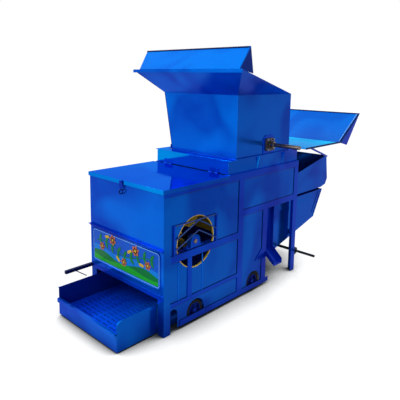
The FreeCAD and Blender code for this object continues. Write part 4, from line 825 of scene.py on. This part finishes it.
class OBJECT_OT_thresher_welds(ThresherOperator):
    """Lay weld beads where the sheets and angles meet"""

    bl_idname = "object.thresher_welds"
    bl_label = "Lay the weld beads"

    flange: millimetres("Hopper flange", "Width of the hopper's bolting flange", 20)

    def build(self, look):
        for name, finish_name, lines in (("hopper_beads", "blue", self.hopper_seams()),
                                         ("hopper_shade_beads", "shade", self.hopper_edges()),
                                         ("frame_beads", "blue", self.frame_seams(look))):
            beads = bmesh.new()
            for line in lines:
                tube(beads, line, look.bead, 8, ripple=0.12, pitch=9 * MM)
            add_piece(name, beads, "frame", finish_name, smooth=60)

    def hopper_corners(self):
        """The hopper's left, right, front and rear at its foot, and its foot and top levels."""
        low, high = boxed("hopper_body")
        left, right = self.throat_left(), high.x - self.flange
        return left, right, low.y + self.flange, high.y - self.flange, low.z + looks().bead, high.z

    def flare_corner(self, side):
        """The flare's front corner under its rim, on one side."""
        low, high = boxed("hopper_flare")
        inset = 6 * MM
        return (high.x - inset if side == "right" else low.x + inset), low.y + 3 * MM, high.z - 5 * MM

    def hopper_seams(self):
        """Beads up the hopper's right corners and from its front corner to the flare's rim."""
        _, right, front, rear, foot, top = self.hopper_corners()
        return [[(right, front, foot), (right, front, top)], [(right, rear, foot), (right, rear, top)],
                [(right, front, top), self.flare_corner("right")]]

    def hopper_edges(self):
        """Dark beads of painted shade round the hopper's foot and up its left corners, for the shade along these
        edges.
        """
        left, right, front, rear, foot, top = self.hopper_corners()
        outer = boxed("hopper_body")[0].x
        ring = [(left, front, foot), (right, front, foot), (right, rear, foot), (left, rear, foot),
                (left, front, foot)]
        return [ring, [(left, front, foot), (outer, front, top)], [(left, rear, foot), (outer, rear, top)],
                [(outer, front, top), self.flare_corner("left")]]

    def throat_left(self):
        """The hopper's left edge at its foot, read from its mesh."""
        level = boxed("hopper_body")[0].z + 1 * MM
        return min(p.x for p in vertices("hopper_body") if p.z < level) + self.flange

    def frame_seams(self, look):
        """Long beads along the housing's foot, and short ones at the rail ends."""
        low, high = boxed("drum_housing")
        setback = 22 * MM
        foot = low.z + look.bead
        lines = [[(x, low.y + 4 * MM, foot), (x, high.y - 2 * MM, foot)]
                 for x in (low.x + setback, high.x - setback)]
        rails_low, rails_high = boxed("side_rails")
        for x in (rails_low.x, rails_high.x):
            for y in (boxed("inner_posts")[0].y, boxed("front_posts")[1].y):
                for level, height in ((look.middle_rail, look.rail_height),
                                      (look.low_rail, look.low_rail_height)):
                    lines.append([(x, y, level), (x, y, level + height)])
        return lines


class OBJECT_OT_thresher_seams(ThresherOperator):
    """Run dark beads of painted shade along the side panels' edges, for the shade at the steps to the posts and
    rails, and press their upright swages
    """

    bl_idname = "object.thresher_seams"
    bl_label = "Seal the side panels"

    notch: millimetres("Front notch", "Length of the foot rail's start beside the front post", 96)
    first_swage: millimetres("First swage", "From the front post's front face", 138)
    second_swage: millimetres("Second swage", "From the front post's front face", 372)
    swage: millimetres("Swage", "Radius of an upright swage", 5)

    def build(self, look):
        panel = boxed("side_panel_right")[1]
        posts, inner_posts = boxed("front_posts"), boxed("inner_posts")
        rail_low, rail_high = boxed("side_rails")
        leg = posts[1].y - posts[0].y
        # Along the machine: the first panel's ends, and the start, the lower and the upper end of the second
        front, first_end, second = posts[1].y, panel.y, inner_posts[0].y + leg
        second_end, rear = inner_posts[1].y - leg, boxed("rear_posts")[0].y
        # Levels: the foot rail, lower and upper edge of the low, middle and rear rail, and the top rail
        foot, low, low_top = look.foot_rail, look.low_rail, look.low_rail + look.low_rail_height
        mid, mid_top = look.middle_rail, look.middle_rail + look.rail_height
        rib = rail_high.z - look.rail_height
        rib_top, top = rib + look.rail_height, boxed("top_rails")[0].z
        ups = ((front, low_top, mid), (front, mid_top, top), (first_end, low_top, mid), (first_end, mid_top, top),
               (second, foot, top), (second_end, foot, rib), (rear, rib_top, top), (front, foot, low))
        levels = ((front, first_end, top), (second, rear, top), (second, rear, rib_top), (second, second_end, rib),
                  *((front, first_end, level) for level in (low, mid, mid_top, low_top)),
                  (rail_low.y + self.notch, inner_posts[1].y, foot))
        seams = [*(((y, start), (y, end)) for y, start, end in ups),
                 *(((start, z), (end, z)) for start, end, z in levels)]
        swages = [((posts[0].y + offset, low_top + 2 * MM), (posts[0].y + offset, mid - 8 * MM))
                  for offset in (self.first_swage, self.second_swage)]
        for side, sign in SIDES.items():
            x = centre_x() + sign * (panel.x - centre_x())
            for name, finish_name, lines, radius, sides in (("seams", "navy", seams, look.shade_bead, 8),
                                                            ("swages", "blue", swages, self.swage, 12)):
                bm = bmesh.new()
                for start, end in lines:
                    tube(bm, [(x, *start), (x, *end)], radius, sides)
                add_piece(f"panel_{name}_{side}", bm, "frame", finish_name)


class OBJECT_OT_thresher_tyres(ThresherOperator):
    """Mould ribbed tyres for the four small wheels"""

    bl_idname = "object.thresher_tyres"
    bl_label = "Mould the tyres"

    grooves: IntProperty(name="Grooves", description="Grooves around each tread", default=3)
    groove_depth: millimetres("Groove depth", "Depth of each groove", 3.5)
    depth: millimetres("Tyre depth", "From tread to rim", 24)

    def build(self, look):
        for end in ("front", "rear"):
            for side in SIDES:
                node = f"tyre_{end}_{side}"
                low, high = boxed(node)
                axle = middle(low, high)
                outer, width = (high.z - low.z) / 2, high.x - low.x
                bm = bmesh.new()
                lathe(bm, self.profile(width, outer - self.depth, outer), (low.x, axle.y, axle.z), RIGHT, 56)
                piece = add_piece(f"{node}_moulded", bm, f"wheel_{end}_{side}", "rubber", smooth=28)
                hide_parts(node)

    def profile(self, width, inner, outer):
        """A rounded tread with grooves, a bulging wall and a bead at the rim, the same on both sides."""
        wall = [(0.1 * width, inner), (0.02 * width, inner + 4 * MM), (0, inner + 12 * MM),
                (0.04 * width, outer - 7 * MM), (0.12 * width, outer - 2 * MM)]
        first, last = 0.2 * width, 0.8 * width
        step = (last - first) / self.grooves
        slope = 1 * MM
        tread = []
        for i in range(self.grooves):
            start = first + step * (i + 0.3)
            stop = start + 0.4 * step
            floor = outer - self.groove_depth
            tread += [(start, outer), (start + slope, floor), (stop - slope, floor), (stop, outer)]
        return wall + tread + [(width - along, radius) for along, radius in reversed(wall)]


class OBJECT_OT_thresher_hasp(ThresherOperator):
    """Shape the hasp: a strap with a slot, rolled round its pin"""

    bl_idname = "object.thresher_hasp"
    bl_label = "Shape the hasp"

    thick: millimetres("Strap", "Thickness of the strap", 2.6)

    # From the top to the pin, the pin's and the roll's radius, and the slot's lower and upper end
    PIN_DROP, PIN, ROLL, SLOT_FOOT, SLOT_TOP = 6 * MM, 3.2 * MM, 6 * MM, 9 * MM, 32 * MM

    def build(self, look):
        low, high = boxed("hasp")
        mid = middle(low, high)
        half, pivot = (high.x - low.x) / 2, high.z - self.PIN_DROP
        bm = bmesh.new()
        outer = self.round_ended(mid.x, half, low.z, pivot - 5 * MM)
        inner = self.round_ended(mid.x, half * 0.32, low.z + self.SLOT_FOOT, low.z + self.SLOT_TOP)
        self.plate_with_hole(bm, outer, inner, mid.y - self.thick / 2, mid.y + self.thick / 2)
        lathe(bm, [(-half / 2, self.PIN), (-half / 2, self.ROLL), (half / 2, self.ROLL), (half / 2, self.PIN)],
              (mid.x, mid.y, pivot), RIGHT, 20)
        piece = add_piece("hasp_strap", bm, "hasp", "royal")
        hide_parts("hasp")

    def round_ended(self, x, half, bottom, top, steps=24):
        """An outline with a round lower end: of the strap or of its slot, with as many points each."""
        points = []
        for i in range(steps + 1):
            angle = math.pi + math.pi * i / steps
            points.append((x + half * math.cos(angle), bottom + half + half * math.sin(angle)))
        return points + [(x + half, top), (x - half, top)]

    def plate_with_hole(self, bm, outer, inner, front, back):
        """A flat plate between two outlines of as many points."""
        rings = [[bm.verts.new((x, y, z)) for x, z in outline]
                 for y in (front, back) for outline in (outer, inner)]
        front_outer, front_inner, back_outer, back_inner = rings
        for i in range(len(outer)):
            j = (i + 1) % len(outer)
            bm.faces.new((front_outer[i], front_outer[j], front_inner[j], front_inner[i]))
            bm.faces.new((back_outer[j], back_outer[i], back_inner[i], back_inner[j]))
            bm.faces.new((front_outer[j], front_outer[i], back_outer[i], back_outer[j]))
            bm.faces.new((front_inner[i], front_inner[j], back_inner[j], back_inner[i]))


class OBJECT_OT_thresher_hems(ThresherOperator):
    """Fold the hems along the open edges of the guard, the table and the lid"""

    bl_idname = "object.thresher_hems"
    bl_label = "Fold the hems"

    hem: millimetres("Hem", "Radius of a folded hem", 7.5)
    rim: millimetres("Tray rim", "Radius of the tray's rounded rim", 3.5)
    fold: millimetres("Lid fold", "Radius of the lid's turned-down edge", 3.4)

    def build(self, look):
        hems = bmesh.new()
        tube(hems, self.top_edge("hopper_guard", self.guard_foot()), self.hem)
        table_low, _ = boxed("feed_table")
        crease, level = self.table_crease(table_low), table_low.z + self.hem
        left, right = self.top_edge("feed_table", (crease, table_low.z))
        line = [(left.x, table_low.y + self.hem, level), (left.x, crease, level), left, right,
                (right.x, crease, level), (right.x, table_low.y + self.hem, level)]
        bars(hems, line, self.hem)
        # The folded hems are real; their dark navy is painted shade along the guard's and the table's open edges
        add_piece("sheet_hems", hems, "frame", "navy")
        # Painted highlight: a pale line in the picture's border colour along the table's right crease, for the sky
        # light the fold catches
        highlight = bmesh.new()
        inset = Vector((2.2 * self.hem, 0, 0))
        tube(highlight, [right - inset, Vector((right.x, crease, level + self.rim)) - inset], self.rim)
        add_piece("painted_highlight_fold", highlight, "frame", "border")
        self.lid_fold_highlight()
        self.tray_rim_highlights()

    def tray_rim_highlights(self):
        """Rounded rims along the top of the tray's sides and lip, in front of the front panel, in the sky paint as
        a painted highlight along the tray's edges.
        """
        front = boxed("front_panel")[0].y
        rims = bmesh.new()
        for side in SIDES:
            low, high = boxed(f"shoe_side_{side}")
            tops = {}
            for point in vertices(f"shoe_side_{side}"):
                y = round(point.y, 3)
                if y < front:
                    tops[y] = max(point.z, tops.get(y, low.z))
            x = middle(low, high).x
            line = [(x, y, z - self.rim / 2) for y, z in sorted(tops.items()) if z > low.z + 0.1]
            tube(rims, line, self.rim)
        low, high = boxed("tray_front")
        tube(rims, [(low.x, low.y + self.rim, high.z - self.rim), (high.x, low.y + self.rim, high.z - self.rim)],
             self.rim)
        add_piece("tray_rim_highlights", rims, "shoe", "sky")

    def top_edge(self, node, foot):
        """The ends of a hem on a sheet's highest edge, set in along the sheet that rises from its foot (y, z)."""
        points = vertices(node)
        high = max(p.z for p in points)
        edge = [p for p in points if p.z > high - 4 * MM]
        y = sum(p.y for p in edge) / len(edge)
        y += (foot[0] - y) / (high - foot[1]) * self.hem
        level = high - self.hem
        return (Vector((min(p.x for p in edge) + self.hem, y, level)),
                Vector((max(p.x for p in edge) - self.hem, y, level)))

    def guard_foot(self):
        """The front foot of the hopper's guard, read from its mesh."""
        foot = min(vertices("hopper_guard"), key=lambda point: point.y)
        return foot.y, foot.z

    def table_crease(self, low):
        """Where the table's sheet bends up, read from its mesh."""
        return max(p.y for p in vertices("feed_table") if p.z < low.z + 1 * MM)

    def lid_fold_highlight(self):
        """The rounded fold along the lid's three turned-down edges, in the sky paint as a painted highlight."""
        low, high = boxed("lid")
        radius = self.fold
        left, right, front = low.x + radius, high.x - radius, low.y + radius
        level = high.z - radius
        bm = bmesh.new()
        line = [(left, high.y, level), (left, front, level), (right, front, level), (right, high.y, level)]
        bars(bm, line, radius, 12)
        add_piece("lid_fold_highlight", bm, "lid", "sky")


class OBJECT_OT_thresher_stage(ThresherOperator):
    """Set the floor, the soft lights and the camera"""

    bl_idname = "object.thresher_stage"
    bl_label = "Set the stage"

    height: FloatProperty(name="Camera height", description="Eye height of the photographer", default=1.708,
                          unit="LENGTH")
    focal: FloatProperty(name="Focal length", description="In frame widths", default=1.1508)
    yaw: FloatProperty(name="Yaw", description="Turn of the view from the machine's length",
                       default=math.radians(44.27), subtype="ANGLE")
    pitch: FloatProperty(name="Pitch", description="Downward tilt", default=math.radians(8.639), subtype="ANGLE")
    contact: FloatProperty(name="Contact shadow", description="Reach of the machine's shade on the floor",
                           default=0.45, unit="LENGTH")
    sky_level: FloatProperty(name="Sky level", description="Brightness of the sky that the paint mirrors",
                             default=0.9)
    roll: FloatProperty(name="Roll", description="Roll of the view", default=math.radians(0.676), subtype="ANGLE")

    # The camera's place right of the machine's middle and in front of its front sheet, and the lens's shift
    ASIDE, AHEAD, SHIFT_RIGHT, SHIFT_UP = 2.483, 1.915, 0.0295, -0.1315

    def build(self, look):
        self.floor()
        self.world()
        self.lights()
        self.camera()

    def floor(self):
        """A wide floor that shows white but keeps the machine's shade."""
        bm = bmesh.new()
        bmesh.ops.create_grid(bm, x_segments=1, y_segments=1, size=30)
        plane = new_object("floor", new_mesh("floor", bm))
        material, tree, shader = new_material("floor")
        shown = self.shown(tree)
        shade = add_node(tree, "ShaderNodeAmbientOcclusion", Distance=self.contact).outputs["AO"]
        white = spread(tree, shade, 0, 1, 0.35, 0.75)
        feed(tree, shader, Roughness=0.9, Specular_IOR_Level=0.1, Emission_Color=(1, 1, 1, 1),
             Base_Color=blend(tree, (0.1, 0.12, 0.16, 1), (0.05, 0.05, 0.05, 1), shown),
             Emission_Strength=reckon(tree, "MULTIPLY", white, shown))
        plane.data.materials.append(material)

    def shown(self, tree):
        """One for the rays that show the background: straight, mirrored or through glass."""
        rays = tree.nodes.new("ShaderNodeLightPath").outputs
        either = reckon(tree, "MAXIMUM", rays["Is Camera Ray"], rays["Is Glossy Ray"])
        return reckon(tree, "MAXIMUM", either, rays["Is Transmission Ray"])

    def world(self):
        """White where the background shows, and a blue sky for the light that reaches the machine."""
        world = bpy.data.worlds.new("studio")
        world.use_nodes = True
        bpy.context.scene.world = world
        tree = world.node_tree
        where = add_node(tree, "ShaderNodeTexCoord").outputs["Generated"]
        height = add_node(tree, "ShaderNodeSeparateXYZ", Vector=where).outputs["Z"]
        ramp = add_node(tree, "ShaderNodeValToRGB", Fac=height)
        elements = ramp.color_ramp.elements
        while len(elements) < len(SKY_STOPS):
            elements.new(0.5)
        for element, (place, colour) in zip(elements, SKY_STOPS):
            element.position = place
            element.color = (*colour, 1)
        sky = feed(tree, tree.nodes["Background"], Strength=self.sky_level, Color=ramp.outputs["Color"])
        white = add_node(tree, "ShaderNodeBackground", Color=(1, 1, 1, 1), Strength=1.0)
        mix = add_node(tree, "ShaderNodeMixShader", Fac=self.shown(tree))
        tree.links.new(sky.outputs["Background"], mix.inputs[1])
        tree.links.new(white.outputs["Background"], mix.inputs[2])
        tree.links.new(mix.outputs["Shader"], tree.nodes["World Output"].inputs["Surface"])

    def lights(self):
        """Three soft lamps."""
        for name, (place, aim, size, power, tint) in LAMPS.items():
            data = bpy.data.lights.new(name, "AREA")
            data.size = size
            data.energy = power
            data.color = tint
            lamp = new_object(name, data)
            lamp.location = place
            lamp.rotation_euler = (Vector(aim) - Vector(place)).to_track_quat("-Z", "Y").to_euler()

    def camera(self):
        """The photographer's place, solved from the machine's straight edges."""
        data = bpy.data.cameras.new("camera")
        data.sensor_width = 36
        data.lens = self.focal * data.sensor_width
        data.shift_x = self.SHIFT_RIGHT
        data.shift_y = self.SHIFT_UP
        camera = new_object("camera", data)
        cos, sin = math.cos(self.yaw), math.sin(self.yaw)
        ahead = Vector((-sin * math.cos(self.pitch), cos * math.cos(self.pitch), -math.sin(self.pitch)))
        right = Vector((cos, sin, 0))
        up = right.cross(ahead)
        tilted = right * math.cos(self.roll) + up * math.sin(self.roll)
        upright = up * math.cos(self.roll) - right * math.sin(self.roll)
        turn = Matrix((tilted, upright, -ahead)).transposed().to_4x4()
        front = boxed("front_panel")[1].y
        place = Vector((centre_x() + self.ASIDE, front - self.AHEAD, self.height))
        camera.matrix_world = Matrix.Translation(place) @ turn
        bpy.context.scene.camera = camera


class VIEW3D_PT_thresher(bpy.types.Panel):
    """The dressing steps, in order."""

    bl_label = "Peanut thresher"
    bl_idname = "VIEW3D_PT_thresher"
    bl_space_type = "VIEW_3D"
    bl_region_type = "UI"
    bl_category = "Thresher"

    def draw(self, context):
        look = context.scene.thresher_looks
        column = self.layout.column()
        for name in ThresherLooks.__annotations__:
            column.prop(look, name)
        for step in STEPS:
            self.layout.operator(step.bl_idname)


STEPS = (OBJECT_OT_thresher_sheets, OBJECT_OT_thresher_shafts, OBJECT_OT_thresher_picture,
         OBJECT_OT_thresher_fan_guard, OBJECT_OT_thresher_bolts, OBJECT_OT_thresher_welds, OBJECT_OT_thresher_seams,
         OBJECT_OT_thresher_tyres, OBJECT_OT_thresher_hasp, OBJECT_OT_thresher_hems, OBJECT_OT_thresher_stage)
CLASSES = (ThresherLooks, *STEPS, VIEW3D_PT_thresher)


def register():
    for cls in CLASSES:
        bpy.utils.register_class(cls)
    bpy.types.Scene.thresher_looks = PointerProperty(type=ThresherLooks)


def unregister():
    del bpy.types.Scene.thresher_looks
    for cls in reversed(CLASSES):
        bpy.utils.unregister_class(cls)


def main():
    register()
    bpy.context.scene.view_settings.view_transform = "Standard"
    for step in STEPS:
        family, name = step.bl_idname.split(".")
        getattr(getattr(bpy.ops, family), name)()
    bpy.context.view_layer.update()


if __name__ == "__main__":
    main()
